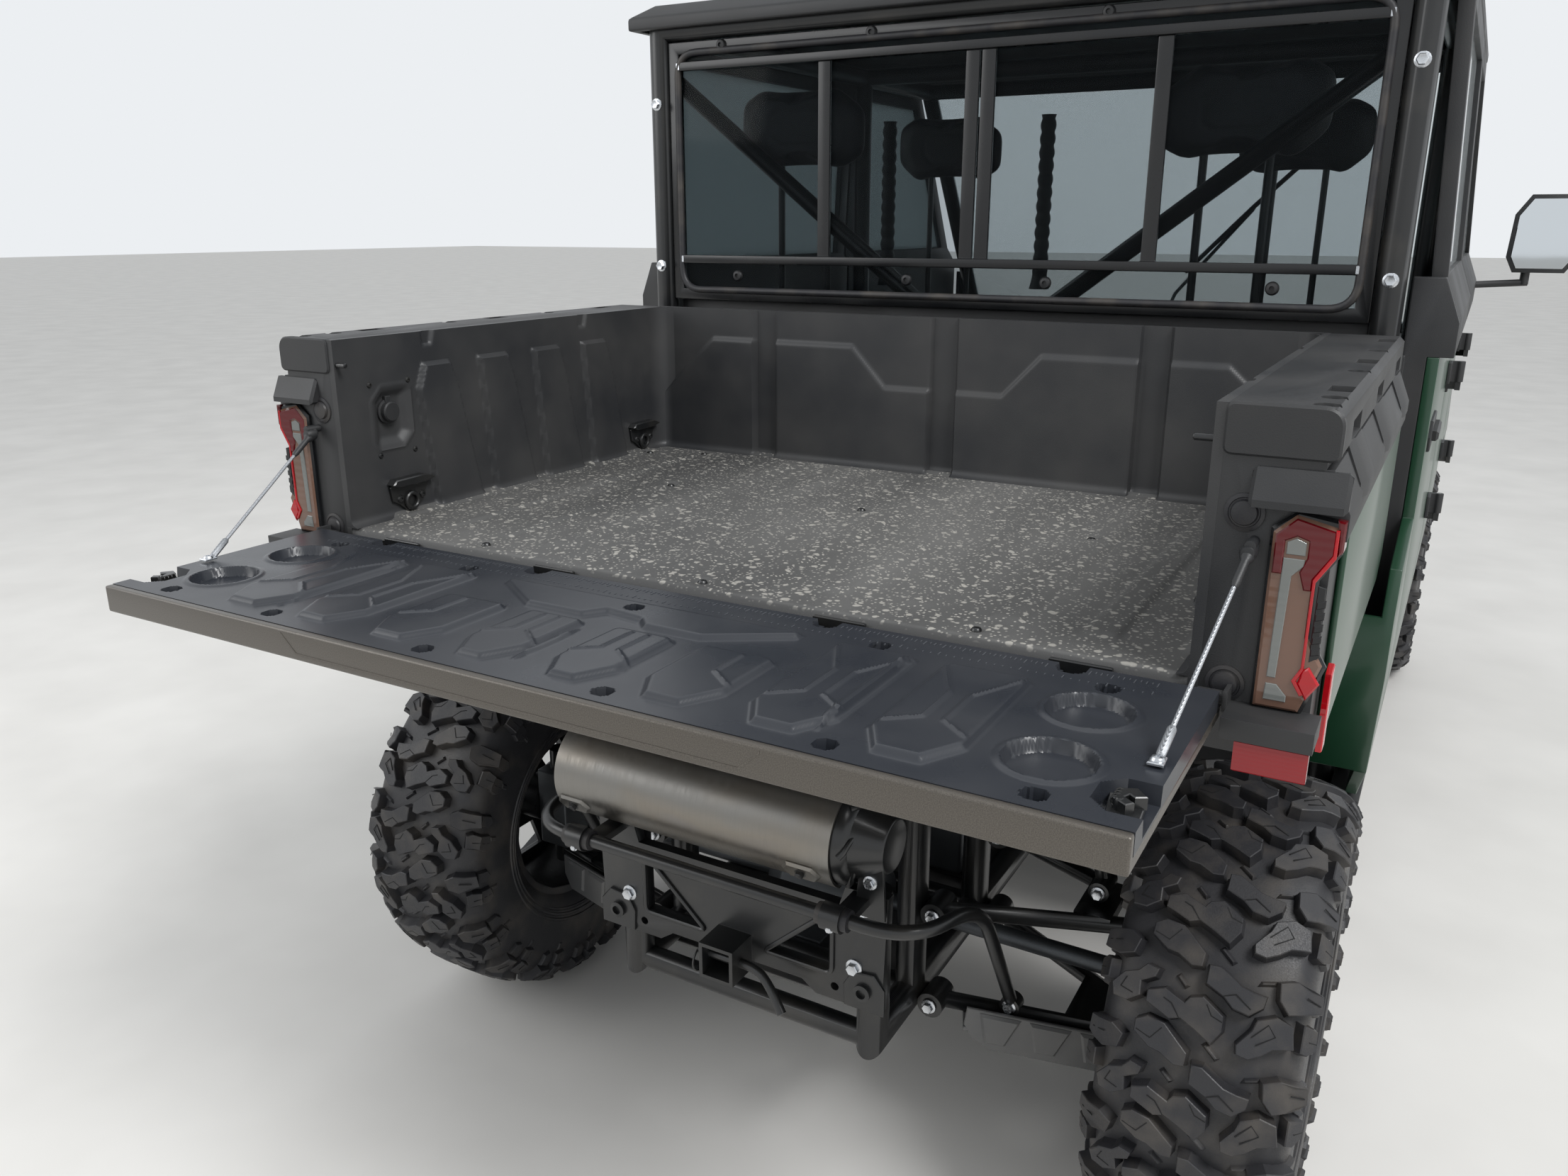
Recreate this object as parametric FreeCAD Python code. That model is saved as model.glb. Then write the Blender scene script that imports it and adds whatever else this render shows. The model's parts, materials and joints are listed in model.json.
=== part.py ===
import FreeCAD, Part
import math
import os

# A crew-cab side by side utility vehicle with a dump bed, in millimetres.
# +Z is up, +Y points to the rear, +X to the vehicle's left. The origin is on the ground,
# under the middle of the whole length and width. The tailgate is drawn down, as it parks.

V = FreeCAD.Vector
AXIS = {"x": V(1, 0, 0), "y": V(0, 1, 0), "z": V(0, 0, 1)}

# Wheels, their places and the steering.
tyre_radius = 385.0
tyre_width = 280.0
lug_height = 22.0
lug_half = 30.0
lug_pitches = 18
rim_radius = 190.0
rim_wall = 14.0
half_track = 720.0
wheelbase = 2926.0
front_overhang = 590.0
kingpin_inset = 65.0
knuckle_half = 36.0
knuckle_height = 170.0
ball_radius = 22.0
steer_arm = 100.0
hub_radius = 48.0
seat_gap = 0.3
run_gap = 0.5

# Suspension and drive.
arm_spread = 150.0
arm_tube = 14.0
shock_radius = 42.0
shock_eye = 17.0
fork_wall = 8.0
shaft_radius = 16.0
case_radius = 78.0
case_half = 110.0
sway_radius = 11.0
guard_wall = 8.0

# Frame under the body.
frame_tube = 26.0
frame_post = 25.4
cross_tube = 20.0
frame_half = 230.0
frame_z = 330.0
front_rail_z = 680.0
rear_rail_z = 890.0
skid_wall = 6.0
skid_half = 200.0
receiver_outer = 63.5
receiver_bore = 50.8
receiver_drop = 645.0
muffler_radius = 78.0
muffler_drop = 396.0
shield_wall = 4.0
saddle_depth = 12.0

# Dump bed and tailgate.
bed_overhang = 450.0
bed_floor_z = 1092.0
bed_length = 900.0
bed_half = 682.0
bed_wall_height = 310.0
liner_wall = 12.0
rail_width = 98.0
bed_pivot_ahead = 150.0
bed_pivot_drop = 120.0
pivot_radius = 9.0
ear_wall = 8.0
beam_depth = 45.0
rail_drop = 62.0
fairing_drop = 135.0
rib_count = 4
rib_pitch = 148.0
rib_width = 100.0
rib_rise = 10.0
rib_top = 258.0
rib_foot = 6.0        # upright part of a rib at the floor
rib_lean = 26.0
channel_pitch = 410.0
channel_half = 26.0
channel_depth = 10.0
step_rise = 6.0
pad_rise = 4.0
pad_slope = 11.0
cup_radius = 47.0
cup_depth = 12.0
panel_wall = 8.0
post_depth = 92.0
gate_drop = 402.0
gate_lap = 40.0
gate_thick = 38.0
gate_skin = 14.0
gate_gap = 10.0
gate_hinge_back = 20.0
gate_hinge_drop = 10.0
gate_pin = 8.0
cable_radius = 3.0

# Cab, its doors and roof.
cab_gap = 150.0
cage_half = 765.0
cage_tube = 25.0
cage_cross = 23.0
window_height = 496.0
roof_thick = 38.0
roof_pad = 10.0
roof_skirt = 18.0
door_bottom_z = 575.0
belt_z = 1352.0
shoulder_rise = 137.0
door_out = 91.0
shoulder_out = 22.0
sash_lean = 34.0
door_skin = 20.0
door_trim = 26.0
door_gap = 12.0
glass_wall = 5.0
window_rail = 46.0
rear_door_length = 925.0
front_door_length = 860.0
hinge_out = 26.0
hinge_in = 10.0
hinge_pin = 5.0
hinge_heights = (900.0, 1230.0)
tub_wall = 14.0
brace_tube = 18.0
row_pitch = 860.0
seat_top_z = 830.0
seat_length = 440.0
seat_inset = 75.0
back_rise = 48.0
headrest_inset = 300.0
steering_inset = 410.0
wheel_drop = 70.0
wheel_lean = 40.0
wheel_radius = 170.0

# Front end.
cowl_drop = 102.0
cowl_ahead = 120.0
hood_inset = 376.0
hood_rise = 80.0
hood_wall = 12.0
nose_fall = 200.0
fascia_depth = 60.0
nose_sweep = 150.0
lamp_depth = 36.0
fender_wall = 10.0
fender_low_z = 790.0
arch_radius = 475.0
hinge_ahead = 36.0
bumper_depth = 34.0

# Stations worked out from the sizes above.
gate_half = bed_half + gate_lap
bed_outer = gate_half + rail_width
shoulder_z = belt_z + shoulder_rise
cage_top_z = shoulder_z + window_height
cowl_z = belt_z - cowl_drop
hood_z = cowl_z + hood_rise
wheel_z = cowl_z - wheel_drop
back_top_z = belt_z + back_rise
door_half = cage_half + door_out
shoulder_half = door_half + shoulder_out
sash_top_half = door_half - sash_lean
roof_half = sash_top_half
hood_half = door_half - hood_inset
seat_half = cage_half - seat_inset
headrest_x = cage_half - headrest_inset
steering_x = cage_half - steering_inset
half_length = (front_overhang + wheelbase + bed_overhang + gate_drop) / 2
rear_axle_y = half_length - bed_overhang - gate_drop
front_axle_y = rear_axle_y - wheelbase
front_y = -half_length
axle_z = tyre_radius
bed_rear_y = rear_axle_y + bed_overhang
bed_front_y = bed_rear_y - bed_length
bed_top_z = bed_floor_z + bed_wall_height
bed_out = bed_half + liner_wall
pivot_y = bed_rear_y - bed_pivot_ahead
pivot_z = bed_floor_z - bed_pivot_drop
cab_rear_y = bed_front_y - cab_gap
door_rear_y = cab_rear_y - 90
b_post_y = door_rear_y - rear_door_length - door_gap / 2
door_front_y = b_post_y - door_gap / 2 - front_door_length
a_post_y = door_front_y + 36
cowl_y = door_front_y - cowl_ahead
header_y = b_post_y - 480
header_run = header_y - cowl_y
header_rise = cage_top_z - cowl_z
kingpin_x = half_track - kingpin_inset
floor_z = frame_z + frame_tube + seat_gap
cage_in = cage_half - cage_tube
cage_out = cage_half + cage_tube
hinge_x = door_half + hinge_out
fascia_y = front_y + bumper_depth + fascia_depth
fender_length = door_front_y - door_gap - front_y - bumper_depth
rear_frame_y = bed_rear_y - 154
muffler_y = bed_rear_y - 132
muffler_z = bed_floor_z - muffler_drop
tub_rear_y = cab_rear_y - cross_tube - seat_gap - tub_wall


def block(x, y, z):
    """A box between three pairs of limits."""
    return Part.makeBox(x[1] - x[0], y[1] - y[0], z[1] - z[0], V(x[0], y[0], z[0]))


def face(outline, axis, level):
    """A flat face across an axis. Its pairs are the other two coordinates in x, y, z order."""
    place = {"x": lambda a, b: V(level, a, b), "y": lambda a, b: V(a, level, b), "z": lambda a, b: V(a, b, level)}
    points = [place[axis](a, b) for a, b in outline]
    return Part.Face(Part.makePolygon(points + points[:1]))


def slab(outline, axis, low, high):
    """A flat outline pushed along one axis."""
    return face(outline, axis, low).extrude(AXIS[axis] * (high - low))


def rod(start, end, radius):
    """A round bar between two points."""
    a, b = V(*start), V(*end)
    return Part.makeCylinder(radius, (b - a).Length, a, b - a)


def bar(start, end, width, height, drop=0.0):
    """A square-edged bar between two points, its width level, set down from their line by drop."""
    a, b = V(*start), V(*end)
    along = (b - a).normalize()
    side = along.cross(AXIS["z"]).normalize() * (width / 2)
    up = side.cross(along).normalize() * (height / 2)
    a -= up * (2 * drop / height)
    b -= up * (2 * drop / height)
    corners = [a - side - up, a + side - up, a + side + up, a - side + up]
    return Part.Face(Part.makePolygon(corners + corners[:1])).extrude(b - a)


def pipe(points, radius):
    """A round tube along straight runs, mitred where they meet."""
    path = Part.makePolygon([V(*p) for p in points])
    first = path.Edges[0]
    start, along = first.valueAt(first.FirstParameter), first.tangentAt(first.FirstParameter)
    return path.makePipeShell([Part.Wire(Part.makeCircle(radius, start, along))], True, False, 1)


def turned(profile, sides, closed=True):
    """A profile of (across, radius) pairs carried round the x axis in flat-sided steps.
    An open profile is capped at both ends."""
    rings = []
    for across, radius in profile:
        turns = [2 * math.pi * (k + 0.5) / sides for k in range(sides)]
        rings.append([V(across, radius * math.sin(t), -radius * math.cos(t)) for t in turns])
    faces = []
    count = len(rings) if closed else len(rings) - 1
    for i in range(count):
        a, b = rings[i], rings[(i + 1) % len(rings)]
        for k in range(sides):
            m = (k + 1) % sides
            faces.append(Part.Face(Part.makePolygon([a[k], a[m], b[m], b[k], a[k]])))
    if not closed:
        for ring in (rings[0], rings[-1]):
            faces.append(Part.Face(Part.makePolygon(ring + ring[:1])))
    made = Part.makeSolid(Part.makeShell(faces))
    if made.Volume < 0:
        made.reverse()
    return made


def spun(profile, centre):
    """A solid of revolution about a line along x through centre, from (across, radius) pairs."""
    points = [V(centre[0] + across, centre[1] + radius, centre[2]) for across, radius in profile]
    points = [V(points[0].x, centre[1], centre[2])] + points + [V(points[-1].x, centre[1], centre[2])]
    return Part.Face(Part.makePolygon(points + points[:1])).revolve(V(*centre), AXIS["x"], 360)


def fused(shapes):
    """One solid out of several that meet, its flat faces joined up where that leaves it valid."""
    made = shapes[0].multiFuse(shapes[1:]) if len(shapes) > 1 else shapes[0]
    joined = made.removeSplitter()
    return joined if joined.isValid() else made


def cut(shape, tools):
    """A shape with several others taken out of it."""
    return shape.cut(tools[0].multiFuse(tools[1:]) if len(tools) > 1 else tools[0])


def other_side(shape):
    """The same shape on the other side of the vehicle."""
    return shape.mirror(V(0, 0, 0), V(1, 0, 0))


def pair(shape):
    """A shape and its mirror image."""
    return [shape, other_side(shape)]


def save(node, shapes):
    """Writes one node's solids."""
    shapes = shapes if isinstance(shapes, list) else [shapes]
    solids = [s for shape in shapes for s in shape.Solids]
    whole = solids[0] if len(solids) == 1 else Part.makeCompound(solids)
    whole.exportStep(os.path.join("parts", node + ".step"))


def skin(line, inward, y, outline=None):
    """A wall that follows a line of (x, z) points, as thick as inward, between two y limits.
    outline, a side view of (y, z) points, trims it."""
    section = line + [(x - inward, z) for x, z in reversed(line)]
    wall = slab(section, "y", y[0], y[1])
    if outline:
        wall = wall.common(slab(outline, "x", 0, 2 * half_track))
    return wall


# Wheels

def tyre():
    """A carcass with rows of lugs, centred on the origin, its outer side towards +x."""
    half = tyre_width / 2
    crown = tyre_radius - lug_height
    carcass = turned([(-0.7 * half, rim_radius), (-half + 2, rim_radius + 70), (-half + 18, crown - 28),
                      (-half + 60, crown), (half - 60, crown), (half - 18, crown - 28),
                      (half - 2, rim_radius + 70), (0.7 * half, rim_radius)], lug_pitches)
    shoulder = [(half, -lug_half), (half, lug_half), (half - 70, lug_half - 8), (half - 78, -lug_half + 4)]
    centre = [(54, -lug_half - 6), (46, lug_half - 22), (-14, lug_half), (-10, -lug_half + 18)]
    lugs = []
    for k in range(lug_pitches):
        for side, shift in ((1, 0.0), (-1, 0.5)):
            for outline, step, foot in ((shoulder, 0.0, crown - 62), (centre, 0.5, crown - 12)):
                points = [V(side * x, side * s, -tyre_radius) for x, s in outline]
                lug = Part.Face(Part.makePolygon(points + points[:1])).extrude(V(0, 0, tyre_radius - foot))
                lug.rotate(V(0, 0, 0), AXIS["x"], 360.0 * (k + shift + step) / lug_pitches)
                lugs.append(lug)
    return fused([carcass] + lugs)


def rim():
    """A rim barrel with a dished, windowed face towards +x and a hub that reaches the knuckle."""
    half = 0.7 * tyre_width / 2
    inner = rim_radius - rim_wall
    barrel = turned([(-half, rim_radius), (half, rim_radius), (half, inner), (-half, inner)], lug_pitches)
    face_x = half - 34
    disc = turned([(face_x - 14, inner + 4), (face_x, inner + 4)], lug_pitches, False)
    windows = []
    for k in range(6):
        window = slab([(-26, 84), (26, 84), (50, 150), (-50, 150)], "x", face_x - 20, face_x + 10)
        window.rotate(V(0, 0, 0), AXIS["x"], 60.0 * k)
        windows.append(window)
    hub_start = knuckle_half + run_gap - kingpin_inset
    hub = turned([(hub_start, hub_radius), (face_x + 24, hub_radius)], lug_pitches, False)
    return fused([barrel, cut(disc, windows), hub])


def wheels():
    the_tyre, the_rim = tyre(), rim()
    for end, y in (("front", front_axle_y), ("rear", rear_axle_y)):
        for side, turn in (("left", 0), ("right", 180)):
            for name, shape in (("tyre", the_tyre), ("rim", the_rim)):
                placed = shape.copy()
                placed.rotate(V(0, 0, 0), AXIS["z"], turn)
                placed.translate(V(half_track if turn == 0 else -half_track, y, axle_z))
                save(name + "_" + end + "_" + side, placed)


def knuckle(y, steered):
    """A hub carrier on the left side, between the ball joints above and below it."""
    reach = (y - knuckle_half, y + knuckle_half)
    body = block((kingpin_x - knuckle_half, kingpin_x + knuckle_half), reach,
                 (axle_z - knuckle_height / 2, axle_z + knuckle_height / 2))
    if not steered:
        return body
    lever = block((kingpin_x - 14, kingpin_x + 14), (y, y + steer_arm + 14), (axle_z + 10, axle_z + 24))
    return fused([body, lever])


def knuckles():
    left = knuckle(front_axle_y, True)
    save("knuckle_left", left)
    save("knuckle_right", other_side(left))
    save("rear_knuckles", pair(knuckle(rear_axle_y, False)))


# Suspension and drive

def tower_z(y):
    """The height of the frame rail that carries the shock heads of an axle."""
    return front_rail_z if y < 0 else rear_rail_z


def wishbone(y, level, inner_z, spread):
    """A forked arm on the left side, from the frame to the ball joint above or below the knuckle."""
    face_z = axle_z + level * (knuckle_height / 2 + run_gap)
    end_z = face_z + level * ball_radius
    inner_x = frame_half + frame_tube + ball_radius + seat_gap
    pieces = [rod((kingpin_x, y, face_z), (kingpin_x, y, face_z + level * 2 * ball_radius), ball_radius)]
    for side in (-1, 1):
        root = (inner_x, y + side * spread, inner_z)
        pieces.append(rod(root, (kingpin_x, y, end_z), arm_tube))
        pieces.append(rod((inner_x, root[1] - 28, inner_z), (inner_x, root[1] + 28, inner_z), ball_radius))
    rib_x = kingpin_x - 150
    share = (kingpin_x - rib_x) / (kingpin_x - inner_x)
    rib_z = end_z + (inner_z - end_z) * share
    pieces.append(block((rib_x - 30, rib_x + 30), (y - spread * share, y + spread * share), (rib_z - 6, rib_z + arm_tube)))
    leg = [(inner_x, y + spread, inner_z), (kingpin_x, y, end_z)]
    return fused(pieces), (rib_x, rib_z + arm_tube), leg


def shock(y, foot, head):
    """A spring and damper between its eye on an arm and its eye on the frame, both (x, z)."""
    low, high = V(foot[0], y, foot[1]), V(head[0], y, head[1])
    along = high - low
    spring = turned([(0, 12), (along.Length * 0.22, 12), (along.Length * 0.22, shock_radius),
                     (along.Length * 0.84, shock_radius), (along.Length * 0.84, 15), (along.Length, 15)], 12, False)
    spring.rotate(V(0, 0, 0), AXIS["y"], -math.degrees(math.atan2(along.z, along.x)))
    spring.translate(low)
    half = shock_radius + 4 - seat_gap
    eyes = [rod((x, y - half, z), (x, y + half, z), shock_eye) for x, z in (foot, head)]
    return fused([spring] + eyes)


def suspension():
    arms, guards, shocks = [], [], []
    for y in (front_axle_y, rear_axle_y):
        lower, _, leg = wishbone(y, -1, frame_z, arm_spread)
        upper, (rib_x, rib_z), _ = wishbone(y, 1, axle_z + 115, arm_spread)
        arms += pair(lower) + pair(upper)
        shocks += pair(shock(y, (rib_x, rib_z + shock_eye + seat_gap), (rib_x - 70, tower_z(y))))
        root, tip = V(*leg[0]), V(*leg[1])
        start, end = root + (tip - root) * 0.12, root + (tip - root) * 0.8
        guards += pair(bar(start, end, 90, guard_wall, arm_tube + guard_wall / 2 + seat_gap))
    bar_y, bar_z = bed_rear_y - 30, bed_floor_z - 475
    sway = [(-400, rear_axle_y + 118, frame_z + 12), (-390, bar_y - 150, bar_z - 8), (-345, bar_y, bar_z),
            (345, bar_y, bar_z), (390, bar_y - 150, bar_z - 8), (400, rear_axle_y + 118, frame_z + 12)]
    save("suspension_links", arms)
    save("sway_bar", pipe(sway, sway_radius))
    low = frame_z - frame_tube - seat_gap
    skid = block((-skid_half - 40, skid_half + 40), (front_axle_y - 250, rear_axle_y + 200), (low - skid_wall, low))
    save("underbody_guards", guards + [skid])
    save("shock_absorbers", shocks)


def drives():
    shapes = []
    for y in (front_axle_y, rear_axle_y):
        case = turned([(-case_half, case_radius - 25), (-case_half + 40, case_radius), (case_half - 40, case_radius),
                       (case_half, case_radius - 25)], 16, False)
        case.translate(V(0, y, axle_z))
        reach = kingpin_x - knuckle_half - 24
        shaft = rod((-reach, y, axle_z), (reach, y, axle_z), shaft_radius)
        lug = block((-45, 45), (y, y + arm_spread - cross_tube - seat_gap), (frame_z - 16, frame_z + 16))
        shapes.append(fused([case, shaft, lug]))
    save("axle_drives", shapes)
    top = rear_rail_z - 30
    base = frame_z + cross_tube + seat_gap
    engine = slab([(cab_rear_y + 70, base), (rear_axle_y - 200, base), (rear_axle_y - 200, top - 90),
                   (rear_axle_y - 260, top), (cab_rear_y + 70, top)], "x", -frame_half + 50, frame_half - 50)
    save("engine_block", engine)


def steering():
    top = axle_z + 10 - run_gap
    y = front_axle_y + steer_arm
    ends = [rod((x, y, top - 22), (x, y, top), 12) for x in (-kingpin_x, kingpin_x)]
    save("tie_rods", fused([rod((-kingpin_x, y, top - 11), (kingpin_x, y, top - 11), 9)] + ends))
    centre = V(steering_x, b_post_y - 550, wheel_z)
    lean = V(0, math.cos(math.radians(wheel_lean)), math.sin(math.radians(wheel_lean)))
    ring = Part.makeTorus(wheel_radius, 15, centre, lean)
    hub = Part.makeCylinder(40, 54, centre - lean * 44, lean)
    spokes = []
    for k in range(3):
        turn = math.radians(-90 + 120 * k)
        way = AXIS["x"] * math.cos(turn) + lean.cross(AXIS["x"]) * math.sin(turn)
        spokes.append(Part.makeCylinder(11, wheel_radius, centre, way))
    save("steering_wheel", fused([ring, hub] + spokes))
    return centre - lean * (44 + run_gap), lean


# Frame

def main_frame():
    tubes = []
    nose_y = fascia_y + frame_tube + seat_gap
    axle_posts = [y + side * arm_spread for y in (front_axle_y, rear_axle_y) for side in (-1, 1)]
    for side in (-1, 1):
        x = side * frame_half
        tubes.append(pipe([(x, nose_y, front_rail_z), (x, nose_y, frame_z + 200), (x, nose_y + 100, frame_z),
                           (x, rear_frame_y, frame_z), (x, rear_frame_y, bed_floor_z - 492)], frame_tube))
        tubes.append(rod((x, nose_y, front_rail_z), (x, a_post_y, front_rail_z), frame_post - 1))
        tubes.append(rod((x, cab_rear_y, rear_rail_z), (x, pivot_y + 60, rear_rail_z), frame_tube))
        for y in axle_posts:
            tubes.append(rod((x, y, frame_z), (x, y, tower_z(y)), frame_post))
        for y in (front_axle_y, rear_axle_y):
            reach = sorted((side * (frame_half + 10), side * (kingpin_x - 195)))
            for fork in (-1, 1):
                near, far = sorted((y + fork * (shock_radius + 4), y + fork * (shock_radius + 4 + fork_wall)))
                tubes.append(block(reach, (near, far), (tower_z(y) - 22, tower_z(y) + 22)))
        rest_y = bed_front_y + 60
        tubes.append(block((x - 30, x + 30), (rest_y - 30, rest_y + 30),
                           (rear_rail_z, bed_floor_z - liner_wall - beam_depth - seat_gap)))
        for wall in (-1, 1):
            mid = x + wall * (ear_wall + 0.5)
            tubes.append(slab([(pivot_y - 34, rear_rail_z), (pivot_y - 16, pivot_z + 16), (pivot_y + 16, pivot_z + 16),
                               (pivot_y + 34, rear_rail_z)], "x", mid - ear_wall / 2, mid + ear_wall / 2))
        tubes.append(rod((x - 20, pivot_y, pivot_z), (x + 20, pivot_y, pivot_z), pivot_radius))
    low_cross = [nose_y + 100] + axle_posts + [cab_rear_y + 110, rear_axle_y - 260, rear_frame_y]
    for y in low_cross:
        tubes.append(rod((-frame_half, y, frame_z), (frame_half, y, frame_z), cross_tube))
    for y, z in ((nose_y, front_rail_z), (rear_axle_y + arm_spread, rear_rail_z)):
        tubes.append(rod((-frame_half, y, z), (frame_half, y, z), cross_tube))
    for y in (a_post_y, b_post_y, cab_rear_y):
        tubes.append(rod((-cage_in, y, frame_z), (cage_in, y, frame_z), cross_tube))
    tubes.append(rod((-cage_in, a_post_y, front_rail_z), (cage_in, a_post_y, front_rail_z), cross_tube))
    tubes.append(rod((-cage_in, cab_rear_y, rear_rail_z), (cage_in, cab_rear_y, rear_rail_z), cross_tube))
    save("main_frame", fused(tubes))


def rear_structure():
    near = rear_frame_y + frame_tube + seat_gap
    low, mid, high = bed_floor_z - 680, bed_floor_z - 507, muffler_z - muffler_radius - seat_gap
    outline = [(-265, low), (-150, low), (-125, low + 18), (125, low + 18), (150, low), (265, low), (272, high), (200, high),
               (190, mid), (-190, mid), (-200, high), (-272, high)]
    plate = slab(outline, "y", near, near + 19)
    tools = []
    for side in (-1, 1):
        tools.append(slab([(side * 62, low + 50), (side * 175, low + 50), (side * 175, mid - 22)], "y", near - 5, near + 30))
        tools.append(rod((side * 184, near - 5, low + 24), (side * 184, near + 30, low + 24), 7))
    socket_z = bed_floor_z - receiver_drop
    outer, bore = receiver_outer / 2, receiver_bore / 2
    mouth = bed_rear_y - 49
    box = block((-outer, outer), (mouth - 200, mouth), (socket_z - outer, socket_z + outer))
    socket = block((-bore, bore), (mouth - 175, mouth + 10), (socket_z - bore, socket_z + bore))
    saddles = [block((s * 230 - 16, s * 230 + 16), (near + 10, bed_rear_y - 30 - sway_radius - seat_gap),
                     (bed_floor_z - 475 - saddle_depth, bed_floor_z - 475)) for s in (-1, 1)]
    save("rear_crossmember", cut(fused([plate, box] + saddles), tools + [socket]))
    save("muffler", spun([(-270, 42), (-200, muffler_radius - 6), (-195, muffler_radius), (300, muffler_radius),
                          (320, muffler_radius - 20)], (0, muffler_y, muffler_z)))
    outer_shell = Part.makeCylinder(muffler_radius + seat_gap + shield_wall, 515, V(-200, muffler_y, muffler_z), AXIS["x"])
    hollow = Part.makeCylinder(muffler_radius + seat_gap, 600, V(-220, muffler_y, muffler_z), AXIS["x"])
    band = block((-300, 400), (muffler_y - 40, muffler_y + 120), (muffler_z - 70, muffler_z + 120))
    save("heat_shield", outer_shell.cut(hollow).common(band))


# Cab

def brace(post_y, plane_y):
    """A V of tubes behind a seat row, with a level tube under it, hung between two posts."""
    tubes = []
    top, foot = cage_top_z - 95, bed_floor_z + 208
    for side in (-1, 1):
        x = side * cage_half
        tubes.append(pipe([(x, post_y, top), (x, plane_y, top), (side * 20, plane_y, foot + 20)], brace_tube))
        tubes.append(rod((x, post_y, foot), (x, plane_y, foot), brace_tube))
    tubes.append(rod((-cage_half - brace_tube, plane_y, foot), (cage_half + brace_tube, plane_y, foot), brace_tube))
    return tubes


def door_hinges(y_front, post_y):
    """The pins and arms on a left post that a door turns on, with its front edge at y_front."""
    pieces = []
    for z in hinge_heights:
        y = y_front + hinge_in
        low, high = z - 45, z - 25 - run_gap
        near, far = y_front - door_gap / 2 - 2.5, y_front - door_gap / 2 + 2.5
        pieces.append(slab([(cage_half - 15, near), (hinge_x + 6, near), (hinge_x + 6, y + 6), (hinge_x - 6, y + 6),
                            (hinge_x - 6, far), (cage_half - 15, far)], "z", low, high))
        pieces.append(rod((hinge_x, y, low), (hinge_x, y, z + 25), hinge_pin))
        reach = post_y(z)
        if reach < y_front - 30:
            pieces.append(block((cage_half - 15, cage_half + 15), (reach, far), (low, high)))
    return pieces


def roll_cage():
    tubes = []

    def a_post(z):
        return a_post_y - (a_post_y - cowl_y) * max(0.0, z - 800) / (cowl_z - 800)

    hinges = door_hinges(door_front_y, a_post) + door_hinges(b_post_y + door_gap / 2, lambda z: b_post_y)
    tubes += hinges + [other_side(h) for h in hinges]
    for side in (-1, 1):
        x = side * cage_half
        tubes.append(pipe([(x, a_post_y - cage_tube, frame_z), (x, cab_rear_y, frame_z), (x, cab_rear_y, cage_top_z),
                           (x, header_y, cage_top_z), (x, cowl_y, cowl_z), (x, a_post_y, 800)], cage_tube))
        tubes.append(rod((x, a_post_y, 800), (x, a_post_y, frame_z), cage_tube - 0.6))
        tubes.append(rod((x, b_post_y, frame_z), (x, b_post_y, cage_top_z), cage_tube - 0.6))
        ear_x = side * 300
        for wall in (-1, 1):
            mid = ear_x + wall * 18
            tip = cowl_y - hinge_ahead - 10
            tubes.append(slab([(cowl_y - 10, cowl_z - 14), (tip, cowl_z + 4), (tip, cowl_z + 21), (cowl_y - 10, cowl_z + 21)],
                              "x", mid - 4, mid + 4))
        tubes.append(rod((ear_x - 20, cowl_y - hinge_ahead, cowl_z + 12), (ear_x + 20, cowl_y - hinge_ahead, cowl_z + 12), hinge_pin))
    for y, z in ((cab_rear_y, cage_top_z), (b_post_y, cage_top_z), (header_y, cage_top_z), (cowl_y, cowl_z)):
        tubes.append(rod((-cage_half, y, z), (cage_half, y, z), cage_cross))
    tubes += brace(cab_rear_y, tub_rear_y - brace_tube - run_gap)
    save("roll_cage", fused(tubes))


def roof():
    base = cage_top_z + cage_tube + seat_gap
    top = base + roof_thick - roof_pad
    ends = (header_y - 70, cab_rear_y + 45)
    across = slab([(-roof_half, cage_top_z), (roof_half, cage_top_z), (roof_half, base), (roof_half - 50, top),
                   (-roof_half + 50, top), (-roof_half, base)], "y", ends[0], ends[1])
    along = slab([(ends[0], cage_top_z), (ends[1], cage_top_z), (ends[1], base), (ends[1] - 36, top), (ends[0] + 60, top),
                  (ends[0], base - 6)], "x", -roof_half, roof_half)
    pocket = block((-roof_half + roof_skirt, roof_half - roof_skirt), (ends[0] + roof_skirt, ends[1] - roof_skirt),
                   (cage_top_z - 5, base))
    pads = []
    for k in (-1, 0, 1):
        mid = k * roof_half * 0.58
        pads.append(slab([(mid - 200, top - 1), (mid - 186, top + roof_pad), (mid + 186, top + roof_pad), (mid + 200, top - 1)],
                         "y", ends[0] + 130, ends[1] - 90))
    save("roof", fused([across.common(along).cut(pocket)] + pads))


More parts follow.
